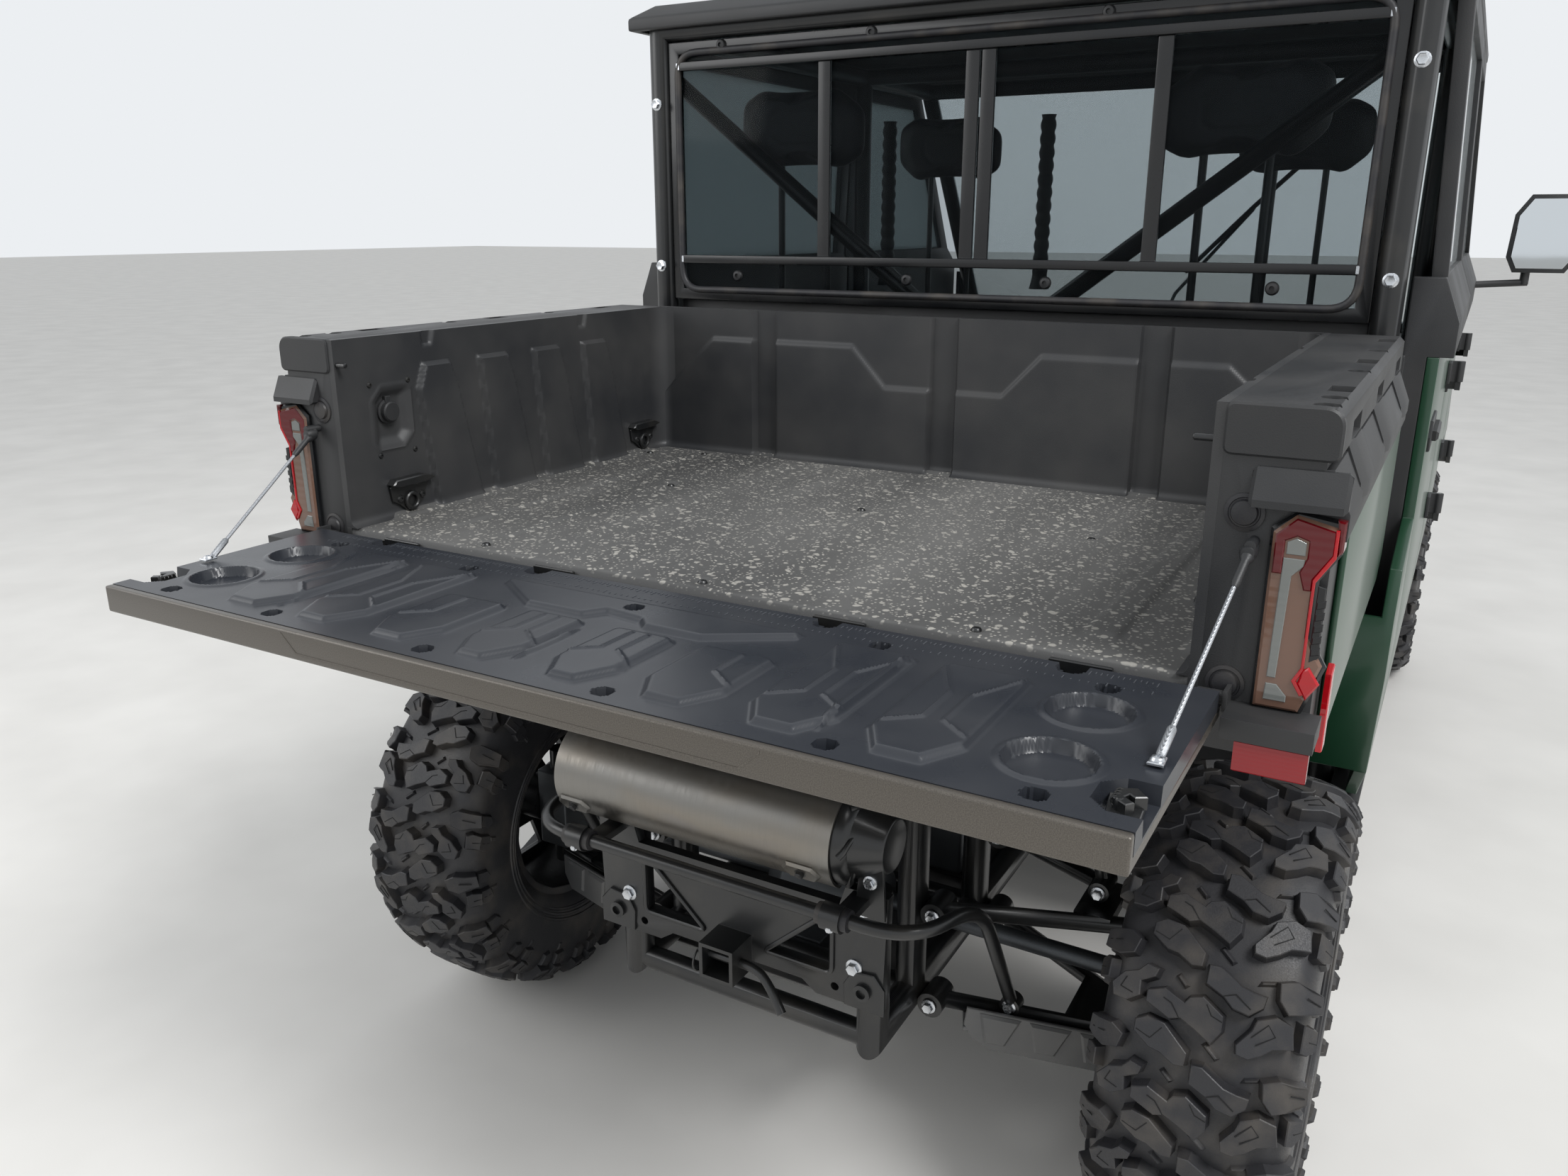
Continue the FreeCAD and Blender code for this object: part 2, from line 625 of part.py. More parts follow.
def cab_glass():
    length = math.hypot(header_run, header_rise)
    way = (header_run / length, header_rise / length)
    out = (-way[1] * glass_wall / 2, way[0] * glass_wall / 2)
    trim = cage_tube + run_gap
    low = (cowl_y + way[0] * trim, cowl_z + way[1] * trim)
    high = (header_y - way[0] * trim, cage_top_z - way[1] * trim)
    screen = slab([(low[0] - out[0], low[1] - out[1]), (high[0] - out[0], high[1] - out[1]),
                   (high[0] + out[0], high[1] + out[1]), (low[0] + out[0], low[1] + out[1])],
                  "x", -cage_in + seat_gap, cage_in - seat_gap)
    low_z, high_z = bed_floor_z + 319, cage_top_z - cage_tube - seat_gap
    reach = cage_in - seat_gap
    outline = (low_z + 24, high_z - 24)
    pane = block((-reach + 26, reach - 26), (cab_rear_y - 3, cab_rear_y + 3), outline)
    save("cab_glass", [screen, pane])
    outer = block((-reach, reach), (cab_rear_y - 9, cab_rear_y + 9), (low_z, high_z))
    tracks = [block((-reach + 26, reach - 26), (cab_rear_y + 3, cab_rear_y + 15), (z - 9, z + 9))
              for z in (bed_floor_z + 409, bed_floor_z + 818)]
    posts = [block((x - 14, x + 14), (cab_rear_y + 3, cab_rear_y + 12), (bed_floor_z + 405, bed_floor_z + 820))
             for x in (-348, -14, 19, 346)]
    hole = block((-reach + 26, reach - 26), (cab_rear_y - 30, cab_rear_y + 30), outline)
    save("rear_window_frame", fused([outer.cut(hole)] + tracks + posts))


def seats(name, back_y):
    solids = []
    for side in (-1, 1):
        x = (15, seat_half) if side > 0 else (-seat_half, -15)
        front = back_y - seat_length - 60
        base = seat_top_z - 120 + seat_gap
        solids.append(slab([(front, base), (front, seat_top_z - 20), (front + 30, seat_top_z), (back_y - 75, seat_top_z - 16),
                            (back_y - 65, base)], "x", x[0], x[1]))
        solids.append(slab([(back_y - 62, base), (back_y + 20, base), (back_y + 62, back_top_z - 20), (back_y + 40, back_top_z),
                            (back_y + 5, back_top_z), (back_y - 62 + 12, seat_top_z + 10)], "x", x[0], x[1]))
        mid = side * headrest_x
        pad = [(-165, 320), (-110, 282), (125, 282), (180, 340), (180, 445), (130, 482), (-95, 482), (-165, 420)]
        head = slab([(mid + side * a, back_top_z + b) for a, b in pad], "y", back_y + 5, back_y + 55)
        posts = [rod((mid + a, back_y + 28, back_top_z + seat_gap), (mid + a, back_y + 28, back_top_z + 300), 8)
                 for a in (-60, 60)]
        solids.append(fused([head] + posts))
    save(name, solids)


def cab_inside(column_end, lean):
    reach = cage_in - seat_gap
    rear = tub_rear_y
    front = a_post_y + cage_tube + seat_gap
    dash_low = cowl_z - 265
    walls = [block((-reach, reach), (front, rear), (floor_z, floor_z + tub_wall)),
             block((-reach, reach), (front, front + tub_wall), (floor_z, dash_low - seat_gap)),
             block((-reach, reach), (rear, rear + tub_wall), (floor_z, bed_floor_z + 319 - seat_gap))]
    rear_back = cab_rear_y - 150
    for back_y in (rear_back, rear_back - row_pitch):
        walls.append(block((-seat_half, seat_half), (back_y - seat_length - 30, back_y + 10), (floor_z, seat_top_z - 120)))
    save("cab_tub", fused(walls))
    seats("rear_seats", rear_back)
    seats("front_seats", rear_back - row_pitch)
    near = cowl_y + cage_tube + seat_gap
    dash = slab([(near, cowl_z - 30), (near, dash_low + 70), (front, dash_low), (near + 220, dash_low + 60),
                 (near + 250, cowl_z - 80), (near + 190, cowl_z - 15), (near + 20, cowl_z - 8)], "x", -reach, reach)
    column = Part.makeCylinder(36, 230, column_end - lean * 230, lean)
    save("dashboard", fused([dash, column]))


# Doors

def door(row, y_front, y_rear):
    """Skin, frame and glass of a left door between two y stations."""
    top = cage_top_z - 7
    line = [(door_half - 18, door_bottom_z), (door_half - 6, door_bottom_z + 65), (door_half, door_bottom_z + 245), (door_half, belt_z)]
    inner_x = door_half - door_skin - door_trim
    slope = header_run / header_rise

    def pillar_y(z):
        return max(y_front, cowl_y + (z - cowl_z) * slope) if row == "front" else y_front

    knee = cowl_z + (y_front - cowl_y) / slope
    outline = [(y_front, door_bottom_z), (y_rear, door_bottom_z), (y_rear, top), (pillar_y(top), top), (y_front, knee)]
    if row == "rear":
        outline = [(y_front, door_bottom_z), (y_rear, door_bottom_z), (y_rear, top), (y_front, top)]
    y = (y_front, y_rear)
    panel = skin(line, door_skin, y)
    inner = skin([(x - door_skin, z) for x, z in line], door_trim, y)
    shoulder = slab([(shoulder_half, belt_z), (shoulder_half, belt_z + 60), (door_half - 8, shoulder_z),
                     (door_half - 34, shoulder_z), (inner_x, shoulder_z - 37), (inner_x, belt_z)], "y", y_front, y_rear)
    sash = skin([(door_half - 8, shoulder_z), (sash_top_half, top)], door_trim, y, outline)
    shift = window_rail * math.hypot(1, slope) if row == "front" else window_rail
    low, high = shoulder_z + 4, top - window_rail
    first = (cowl_y + (low - cowl_z) * slope if row == "front" else y_front) + shift
    second = (cowl_y + (high - cowl_z) * slope if row == "front" else y_front) + shift
    hole = [(first, low), (y_rear - window_rail, low), (y_rear - window_rail, high), (second, high)]
    frame = fused([inner, shoulder.common(slab(outline, "x", 0, 2 * half_track)), sash.cut(slab(hole, "x", 0, 2 * half_track))])
    drop = (sash_top_half - door_half + 8) / (top - shoulder_z)
    pane_x = door_half - 8 - (door_trim - glass_wall) / 2
    pane = skin([(pane_x, shoulder_z), (pane_x + drop * (top - shoulder_z), top)], glass_wall, y, hole)
    leaves = []
    for z in hinge_heights:
        mid = y_front + hinge_in
        leaf = fused([block((door_half, hinge_x), (mid - 7, mid + 7), (z - 25, z + 25)),
                      block((door_half, door_half + 8), (mid - 7, mid + 60), (z - 25, z + 25)),
                      rod((hinge_x, mid, z - 25), (hinge_x, mid, z + 25), 10)])
        leaves.append(leaf.cut(rod((hinge_x, mid, z - 40), (hinge_x, mid, z + 40), hinge_pin + seat_gap)))
    return panel, [frame] + leaves, pane


def mirror(y):
    """A door mirror on the left shoulder, its arm and stem."""
    outline = [(87, 86), (217, 86), (238, 118), (238, 268), (212, 303), (107, 303), (72, 248), (66, 128)]
    head = slab([(shoulder_half + a, belt_z + b) for a, b in outline], "y", y - 22, y + 22)
    arm = rod((shoulder_half - 10, y, belt_z + 48), (shoulder_half + 132, y, belt_z + 58), 10)
    stem = rod((shoulder_half + 122, y, belt_z + 52), (shoulder_half + 122, y, belt_z + 93), 12)
    return [head, arm, stem]


def doors():
    spans = {"rear": (b_post_y + door_gap / 2, door_rear_y), "front": (door_front_y, b_post_y - door_gap / 2)}
    for row, (y_front, y_rear) in spans.items():
        panel, frame, pane = door(row, y_front, y_rear)
        if row == "front":
            frame = [fused([frame[0]] + mirror(y_front + 50))] + frame[1:]
        for side in ("left", "right"):
            for name, shapes in (("skin", [panel]), ("frame", frame), ("glass", [pane])):
                placed = shapes if side == "left" else [other_side(s) for s in shapes]
                save("door_" + name + "_" + row + "_" + side, placed)


# Outer body

def sweep(depth):
    """The plan line of the nose from right to left, set back by depth: a flat middle and swept sides."""
    y = front_y + bumper_depth + depth
    half = [(300, y), (620, y + nose_sweep * 0.3), (door_half + 5, y + nose_sweep)]
    return [(-x, at) for x, at in reversed(half)] + half


def bent(outline, near, far):
    """A front view pushed through the nose between two depths behind its plan line."""
    band = slab(sweep(near) + list(reversed(sweep(far))), "z", 0, 2 * hood_z)
    return slab(outline, "y", front_y - bumper_depth, front_axle_y).common(band)


def ahead_of(depth):
    """Everything in front of the nose's plan line set back by depth."""
    corners = [(half_track * 2, front_y - nose_sweep), (-half_track * 2, front_y - nose_sweep)]
    ends = [(-half_track * 2, sweep(depth)[0][1]), (half_track * 2, sweep(depth)[-1][1])]
    return slab([ends[0]] + sweep(depth) + [ends[1]] + corners, "z", 0, 2 * hood_z)


def front_end():
    slope = nose_fall / fender_length
    rear = door_front_y - door_gap
    push = V(0, -fender_length, -nose_fall)
    outer = [(door_half - 10, 600), (door_half, 1000), (door_half - 6, hood_z - 115), (door_half - 56, hood_z - 40),
             (hood_half + 8, hood_z - 12)]
    section = outer + [(x - fender_wall if x > cage_half else x, z - fender_wall) for x, z in reversed(outer)]
    fender = face(section, "y", rear).extrude(push)
    arch = Part.makeCylinder(arch_radius, 2 * half_track, V(0, front_axle_y, axle_z + 10), AXIS["x"])
    low = block((0, 2 * half_track), (front_y, rear), (0, fender_low_z))
    pillar = block((0, cage_out + 6), (cowl_y - cage_tube - 10, rear), (cowl_z - 60, 2 * hood_z))
    flange = block((cage_out + seat_gap, door_half - 8), (rear - 10, rear), (fender_low_z + 10, hood_z - 180))
    fender = fused([cut(fender, [arch, low, pillar, ahead_of(fascia_depth + seat_gap)]), flange])
    under = hood_z - hood_wall - 12
    half = [(hood_half, under - 6), (hood_half + 8, hood_z - 12)] + list(reversed(outer[1:4]))
    half += [(door_half - 16, fender_low_z + nose_fall), (600, 600 + nose_fall), (440, 480 + nose_fall)]
    nose = face([(-x, z) for x, z in reversed(half)] + half, "y", rear).extrude(push)
    band = slab(sweep(0) + list(reversed(sweep(fascia_depth))), "z", 0, 2 * hood_z)
    mouth = bent([(-300, 690), (300, 690), (360, 780), (330, 890), (-330, 890), (-360, 780)], -5, fascia_depth - 12)
    lamps = [(410, 905), (700, 925), (745, 965), (735, 1010), (430, 990)]
    lens = [(414, 908), (699, 928), (741, 966), (732, 1006), (433, 987)]
    recess = bent(lamps, -5, lamp_depth)
    bars = [bent([(-345, z - 8), (345, z - 8), (345, z + 8), (-345, z + 8)], 12, fascia_depth - 11) for z in range(725, 880, 38)]
    bumper = slab([(-400, 500), (400, 500), (440, 560), (400, 640), (-400, 640), (-440, 560)], "y", front_y, front_y + bumper_depth + 1)
    bevel = slab([(-440, front_y + bumper_depth), (-280, front_y), (280, front_y), (440, front_y + bumper_depth),
                  (440, front_y + bumper_depth + 1), (-440, front_y + bumper_depth + 1)], "z", 400, 700)
    holes = [mouth, recess, other_side(recess)]
    save("front_fascia", fused([cut(nose.common(band), holes), bumper.common(bevel)] + bars))
    save("headlights", pair(bent(lens, 4, lamp_depth - seat_gap)))
    crown = [(-hood_half, hood_z - 12), (-hood_half + 180, hood_z), (hood_half - 180, hood_z), (hood_half, hood_z - 12)]
    sheet = crown + [(x, z - hood_wall) for x, z in reversed(crown)]
    axis_y, axis_z = cowl_y - hinge_ahead, cowl_z + 12
    hood = cut(face(sheet, "y", rear).extrude(push), [block((-half_track, half_track), (axis_y - 5, rear + 10), (0, 2 * hood_z)),
                                                      ahead_of(4)])
    lugs = []
    top = hood_z - slope * (rear - axis_y) - 8
    for side in (-1, 1):
        x = side * 300
        lug = fused([block((x - 12, x + 12), (axis_y - 9, axis_y - 5), (axis_z, top)),
                     rod((x - 12, axis_y, axis_z), (x + 12, axis_y, axis_z), 10)])
        lugs.append(lug.cut(rod((x - 20, axis_y, axis_z), (x + 20, axis_y, axis_z), hinge_pin + seat_gap)))
    save("hood", fused([hood] + lugs))
    return fender


def body_shell(fender):
    line = [(door_half - 18, door_bottom_z), (door_half - 6, door_bottom_z + 65), (door_half, door_bottom_z + 245), (door_half, belt_z)]
    start, step, back = door_rear_y + door_gap, cab_rear_y - 50, bed_front_y + 23
    outline = [(start, door_bottom_z), (back - 45, door_bottom_z), (back, door_bottom_z + 65), (back, 930), (back - 35, 1010),
               (step, 1060), (step, belt_z), (start, belt_z)]
    quarter = skin(line, door_skin, (start, back), outline)
    well = block((cage_out - 40, door_half - 10), (back - 12, back), (door_bottom_z + 65, 930))
    save("body_panels", pair(fender) + pair(fused([quarter, well])))
    cap = slab([(shoulder_half, belt_z), (shoulder_half, belt_z + 60), (door_half - 8, shoulder_z), (cage_out + 6, shoulder_z),
                (cage_out + 6, belt_z)], "y", start, step)
    hug = [(x - door_skin - seat_gap, z) for x, z in line]
    wall = slab([(cage_out + seat_gap, door_bottom_z)] + hug + [(cage_out + seat_gap, belt_z)], "y", step - 20, step)
    strip = block((cage_out + seat_gap, cage_out + 10), (step - 20, cab_rear_y + 5), (door_bottom_z, belt_z))
    rocker = slab([(cage_out + seat_gap, frame_z + 10), (door_half - 22, frame_z + 70), (door_half - 12, door_bottom_z - 14),
                   (cage_out + seat_gap, door_bottom_z - 14)], "y", a_post_y, back - 45)
    link = block((cage_out + seat_gap, cage_out + 10), (step - 20, step), (door_bottom_z - 20, door_bottom_z + 5))
    rear = door_front_y - door_gap
    knee = cowl_z + (rear - cowl_y) * header_rise / header_run
    cheek = slab([(cowl_y - 8, hood_z - 42), (rear, hood_z - 22), (rear, knee)], "x", cage_out + seat_gap, cage_out + 16)
    save("cab_trim", pair(fused([cap, wall, strip, rocker, link])) + pair(cheek))


# Dump bed and tailgate

def wall_ribs():
    """Raised panels on the inner faces of both bed walls, each leaning forward at its foot."""
    ribs = []
    low, foot, high = bed_floor_z - 1, bed_floor_z + rib_foot, bed_floor_z + rib_top
    for k in range(rib_count):
        first = bed_front_y + rib_pitch * (k + 1.25)
        last = first + rib_width
        front_foot, rear_foot = first - 2 * rib_lean, last - rib_lean
        outline = [(front_foot, low), (rear_foot, low), (rear_foot, foot), (last, high), (first, high),
                   (front_foot, foot)]
        ribs += pair(slab(outline, "x", bed_half - rib_rise, bed_half + 1))
    return ribs


def step_panel():
    """The lower part of the front bed wall, which stands proud up to a stepped line."""
    half = [(125, 172), (200, 252), (540, 252), (620, 180), (bed_half, 120), (bed_half, -1)]
    outline = [(-x, bed_floor_z + z) for x, z in reversed(half)] + [(x, bed_floor_z + z) for x, z in half]
    return slab(outline, "y", bed_front_y - 1, bed_front_y + step_rise)


def rail_cap(front):
    """The left rail: a cap with slots and holes, a sunk band below it and a sloped fairing."""
    top, back = bed_top_z, bed_rear_y
    line = [(bed_out, top - fairing_drop), (bed_outer + 4, top - fairing_drop), (bed_outer + 4, top - rail_drop - 45),
            (bed_outer - 16, top - rail_drop), (bed_outer - 24, top - rail_drop), (bed_outer - 24, top - rail_drop + 10),
            (bed_outer - 14, top - rail_drop + 10), (bed_outer - 14, top - 8), (bed_outer - 22, top), (bed_out, top)]
    cap = slab(line, "y", front, back)
    mid = bed_outer - 34
    tools = []
    for behind in (170, 485, 820):
        y = bed_rear_y - behind
        tools.append(block((mid - 14, mid + 12), (y - 26, y + 26), (top - 30, top + 1)))
        tools.append(block((bed_outer - 26, bed_outer), (y - 48, y + 48), (top - rail_drop + 12, top - rail_drop + 34)))
    for behind in (30, 92, 362, 642):
        y = bed_rear_y - behind
        tools.append(rod((mid, y, top - 30), (mid, y, top + 1), 14))
    return cut(cap, tools)


def frustum(corner, reach, chamfer, base, rise):
    """A raised pad with sloped sides, from one corner by a reach in x and y."""
    wires = []
    for inward, z in ((0, base - 1), (pad_slope, base + rise)):
        x, y = (corner[0] + inward, corner[0] + reach[0] - inward), (corner[1] + inward, corner[1] + reach[1] - inward)
        points = [(x[0] + 4, y[0]), (x[1] - 4, y[0]), (x[1], y[0] + 4), (x[1], y[1] - chamfer), (x[1] - chamfer, y[1]),
                  (x[0] + chamfer, y[1]), (x[0], y[1] - chamfer), (x[0], y[0] + 4)]
        wires.append(Part.makePolygon([V(a, b, z) for a, b in points + points[:1]]))
    return Part.makeLoft(wires, True, True)


def bed():
    front = bed_front_y - liner_wall
    under = bed_floor_z - liner_wall
    floor = block((-bed_out, bed_out), (front, bed_rear_y), (under, bed_floor_z))
    walls = [block((bed_half, bed_out), (front, bed_rear_y), (bed_floor_z - 1, bed_top_z)),
             block((-bed_out, -bed_half), (front, bed_rear_y), (bed_floor_z - 1, bed_top_z)),
             block((-bed_out, bed_out), (front, bed_front_y), (bed_floor_z - 1, bed_top_z))]
    ribs = wall_ribs()
    channels = [block((x - channel_half - 8, x + channel_half + 8), (front - channel_depth, front + 1), (under, bed_top_z))
                for x in (-channel_pitch, 0, channel_pitch)]
    grooves = [block((x - channel_half, x + channel_half), (bed_front_y - channel_depth, bed_front_y + step_rise + 1),
                     (bed_floor_z, bed_top_z + 1)) for x in (-channel_pitch, 0, channel_pitch)]
    save("bed_liner", cut(fused([floor] + walls + [step_panel()] + channels), grooves).fuse(ribs))
    out = bed_outer - panel_wall
    rail = rail_cap(front)
    post = block((bed_out, out), (bed_rear_y - post_depth, bed_rear_y), (bed_floor_z - 80, bed_top_z - fairing_drop))
    ledge = block((gate_half + 8, bed_outer + 4), (bed_rear_y, bed_rear_y + 58), (bed_floor_z - 42, bed_floor_z - 18))
    pin_x, pin_z = gate_half + 13, bed_floor_z + 165
    pin = rod((pin_x, bed_rear_y, pin_z), (pin_x, bed_rear_y + 26, pin_z), 6)
    ear_y, ear_z = bed_rear_y + gate_hinge_back, bed_floor_z - gate_hinge_drop
    ear = block((gate_half + 4, gate_half + 9), (bed_rear_y, ear_y + 12), (ear_z - 12, ear_z + 12))
    gate_pivot = rod((gate_half - 25, ear_y, ear_z), (gate_half + 8, ear_y, ear_z), gate_pin)
    save("rail_caps", pair(fused([rail, post, ledge, pin, ear, gate_pivot])))
    side = slab([(front, bed_floor_z - 60), (front + 60, bed_floor_z - 90), (bed_rear_y - post_depth, bed_floor_z - 90),
                 (bed_rear_y - post_depth, bed_top_z - fairing_drop), (front, bed_top_z - fairing_drop)], "x", out, bed_outer)
    save("bed_side_panels", pair(side))
    corners = [(-66, -16), (-20, -16), (-2, 40), (-20, 70), (-20, 130), (-2, 160), (-2, 190), (-45, 200), (-66, 180)]
    lamp = slab([(bed_outer + a, bed_floor_z + b) for a, b in corners], "y", bed_rear_y + seat_gap, bed_rear_y + 14)
    reflector = block((bed_outer - 74, bed_outer + 1), (bed_rear_y + 46, bed_rear_y + 57),
                      (bed_floor_z - 78, bed_floor_z - 42 - seat_gap))
    save("tail_lamps", pair(lamp) + pair(reflector))
    beams = []
    for x in (-frame_half, frame_half):
        beams.append(block((x - 30, x + 30), (front, bed_rear_y - 20), (under - beam_depth, under)))
        beams.append(slab([(pivot_y - 50, under - beam_depth), (pivot_y - 14, pivot_z - 18), (pivot_y + 14, pivot_z - 18),
                           (pivot_y + 50, under - beam_depth)], "x", x - ear_wall / 2, x + ear_wall / 2))
    for y in (front + 40, bed_front_y + bed_length * 0.4, bed_rear_y - post_depth - 30):
        beams.append(block((-out, out), (y - 25, y + 25), (under - 34, under)))
    frame = fused(beams)
    save("bed_frame", frame.cut(rod((-400, pivot_y, pivot_z), (400, pivot_y, pivot_z), pivot_radius + seat_gap)))


def tailgate():
    near, tip = bed_rear_y + gate_gap, bed_rear_y + gate_drop
    low = bed_floor_z - gate_thick
    shell = block((-gate_half, gate_half), (near, tip), (low, low + gate_skin))
    lip = block((-gate_half, gate_half), (tip - 12, tip), (low, bed_floor_z))
    save("tailgate_skin", fused([shell, lip]))
    liner = block((-gate_half, gate_half), (near, tip - 12), (low + gate_skin, bed_floor_z))
    hinge = (bed_rear_y + gate_hinge_back, bed_floor_z - gate_hinge_drop)
    holes = [rod((s * (gate_half - 26), hinge[0], hinge[1]), (s * (gate_half + 5), hinge[0], hinge[1]), gate_pin + seat_gap)
             for s in (-1, 1)]
    for side in (-1, 1):
        spots = [(side * x, 354, 12.5, 22) for x in (136, 412, 625)] + [(side * x, 71, 12.5, 22) for x in (337, 614)]
        spots += [(side * 615, y, cup_radius, cup_depth) for y in (144, 278)]
        spots += [(side * x, 10, 34, 14) for x in (241, 561)]
        holes += [rod((x, near + y, bed_floor_z - depth), (x, near + y, bed_floor_z + pad_rise + 1), radius)
                  for x, y, radius, depth in spots]
    holes.append(rod((0, near + 114, bed_floor_z - 22), (0, near + 114, bed_floor_z + pad_rise + 1), 12.5))
    pads = []
    for x, wide, start in ((22, 96, 180), (154, 108, 180), (292, 108, 90), (430, 110, 90)):
        pads += pair(frustum((x, near + start), (wide, 350 - start), 26, bed_floor_z, pad_rise))
    pads.append(frustum((-240, near + 88), (480, 84), 60, bed_floor_z, pad_rise))
    save("tailgate_liner", cut(fused([liner] + pads), holes))
    start = (gate_half + 13 - cable_radius, bed_rear_y + 20, bed_floor_z + 155)
    end = (gate_half - 17, bed_rear_y + 245, bed_floor_z + cable_radius - 0.2)
    save("tailgate_cables", pair(rod(start, end, cable_radius)))


os.makedirs("parts", exist_ok=True)
wheels()
knuckles()
suspension()
drives()
main_frame()
rear_structure()
roll_cage()
roof()
cab_glass()
cab_inside(*steering())
body_shell(front_end())
doors()
bed()
tailgate()
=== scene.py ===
import json
import math

import bmesh
import bpy
import numpy as np
from mathutils import Matrix, Vector


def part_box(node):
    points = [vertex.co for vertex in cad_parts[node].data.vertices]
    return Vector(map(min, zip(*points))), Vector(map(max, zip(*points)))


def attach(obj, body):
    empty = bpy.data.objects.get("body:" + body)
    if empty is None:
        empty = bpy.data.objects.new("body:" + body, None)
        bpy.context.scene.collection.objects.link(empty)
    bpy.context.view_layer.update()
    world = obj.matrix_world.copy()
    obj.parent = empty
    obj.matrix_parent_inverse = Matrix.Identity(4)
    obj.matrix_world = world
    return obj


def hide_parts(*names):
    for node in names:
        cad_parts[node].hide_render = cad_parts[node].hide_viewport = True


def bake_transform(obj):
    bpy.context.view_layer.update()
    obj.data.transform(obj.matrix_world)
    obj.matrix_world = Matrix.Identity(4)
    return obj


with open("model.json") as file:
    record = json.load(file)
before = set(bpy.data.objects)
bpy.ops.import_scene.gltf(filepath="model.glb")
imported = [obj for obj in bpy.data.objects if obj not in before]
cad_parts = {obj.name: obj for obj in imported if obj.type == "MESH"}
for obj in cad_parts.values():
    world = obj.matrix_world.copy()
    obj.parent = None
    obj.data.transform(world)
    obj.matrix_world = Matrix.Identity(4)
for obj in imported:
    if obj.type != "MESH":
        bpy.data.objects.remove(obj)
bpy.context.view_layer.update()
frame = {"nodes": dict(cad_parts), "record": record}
scene = bpy.context.scene
mm = 0.001


# Colours and nodes

# An sRGB hex value as the linear colour that a socket takes
def toLinear(hexColour):
    shares = [int(hexColour[k:k + 2], 16) / 255 for k in (1, 3, 5)]
    return [c / 12.92 if c <= 0.04045 else ((c + 0.055) / 1.055) ** 2.4 for c in shares] + [1.0]


# Adds one node; settings go to its sockets or, failing that, to its properties, and links feed its sockets
def addNode(tree, kind, settings=None, links=None):
    node = tree.nodes.new(kind)
    for key, value in (settings or {}).items():
        if isinstance(key, str) and key not in node.inputs:
            setattr(node, key, value)
    for key, value in (settings or {}).items():
        if not isinstance(key, str) or key in node.inputs:
            node.inputs[key].default_value = value
    for key, source in (links or {}).items():
        tree.links.new(source, node.inputs[key])
    return node


# A new material with its shader; uniform values go on the shader's own sockets
def newMaterial(name, colour, **sockets):
    material = bpy.data.materials.new(name)
    material.use_nodes = True
    tree = material.node_tree
    shader = tree.nodes["Principled BSDF"]
    shader.inputs["Base Color"].default_value = toLinear(colour)
    for key, value in sockets.items():
        shader.inputs[key.replace("_", " ")].default_value = value
    return material, tree, shader


# Noise of a real size in millimetres on the piece's own coordinates, stretched by squeeze
def noiseOf(tree, sizeMm, detail=2.0, squeeze=(1, 1, 1)):
    coords = addNode(tree, "ShaderNodeTexCoord")
    mapping = addNode(tree, "ShaderNodeMapping", {"Scale": squeeze}, {"Vector": coords.outputs["Object"]})
    return addNode(tree, "ShaderNodeTexNoise", {"Scale": 1000 / sizeMm, "Detail": detail},
                   {"Vector": mapping.outputs["Vector"]})


# Fades a value from one colour to another between two limits
def rampOf(tree, source, low, high, first, last):
    ramp = addNode(tree, "ShaderNodeValToRGB", None, {"Fac": source})
    ramp.color_ramp.elements[0].position = low
    ramp.color_ramp.elements[0].color = first
    ramp.color_ramp.elements[1].position = high
    ramp.color_ramp.elements[1].color = last
    return ramp.outputs["Color"]


# A grey of a given level
def grey(level):
    return (level, level, level, 1)


# Mixes two colours by a share
def mixOf(tree, share, first, second):
    node = addNode(tree, "ShaderNodeMix", {"data_type": "RGBA"})
    for key, value in ((0, share), (6, first), (7, second)):
        if isinstance(value, bpy.types.NodeSocket):
            tree.links.new(value, node.inputs[key])
        else:
            node.inputs[key].default_value = value
    return node.outputs[2]


# A colour socket joined to the base colour of a shader
def paint(tree, shader, colour):
    tree.links.new(colour, shader.inputs["Base Color"])


# Roughness that wanders between two values with a noise
def varyRoughness(tree, shader, noise, low, high, start=0.3, end=0.7):
    rough = rampOf(tree, noise.outputs["Fac"], start, end, grey(low), grey(high))
    tree.links.new(rough, shader.inputs["Roughness"])


# Bump from a texture, its depth in millimetres
def addBump(tree, shader, source, depthMm, strength=1.0):
    bump = addNode(tree, "ShaderNodeBump", {"Strength": strength, "Distance": depthMm * mm},
                   {"Height": source})
    tree.links.new(bump.outputs["Normal"], shader.inputs["Normal"])


# How far a face looks up, from 0 to 1, in the piece's own coordinates
def lookingUp(tree, low=0.5, high=0.9):
    coords = addNode(tree, "ShaderNodeTexCoord")
    parts = addNode(tree, "ShaderNodeSeparateXYZ", None, {0: coords.outputs["Normal"]})
    return rampOf(tree, parts.outputs["Z"], low, high, grey(0), grey(1))


# Materials, each named for what it is and how its surface was made

materialValues = {
    "plasticBlack": "#212224", "bedBlack": "#3a3a3a", "bedSpot": "#a5a29b", "bedFilm": "#989794",
    "steelBlack": "#161718",
    "gateGrey": "#57524c", "paintGreen": "#163a26", "rubber": "#242427", "alloyBlack": "#17181a",
    "shieldSteel": "#85837f", "zinc": "#c9ccd0", "lensRed": "#5f0810", "lensBright": "#b00d19",
    "lensClear": "#8b8f8c", "lensSmoke": "#735749", "reflexRed": "#8a1219", "vinyl": "#1c1d1f",
    "cable": "#9a9da1", "engineGrey": "#5d6063", "plasticGrey": "#58595a", "dust": "#a8a39a",
    "glossBlack": "#141517", "liner": "#2b2c2e", "gateInner": "#2a2d33", "gateMark": "#44474c",
    # Near-black of the tyre's sipe lines: painted shade inside the cuts
    "sipeShade": "#0b0b0c", "spring": "#1c1d1f", "mirror": "#d5dadd",
}


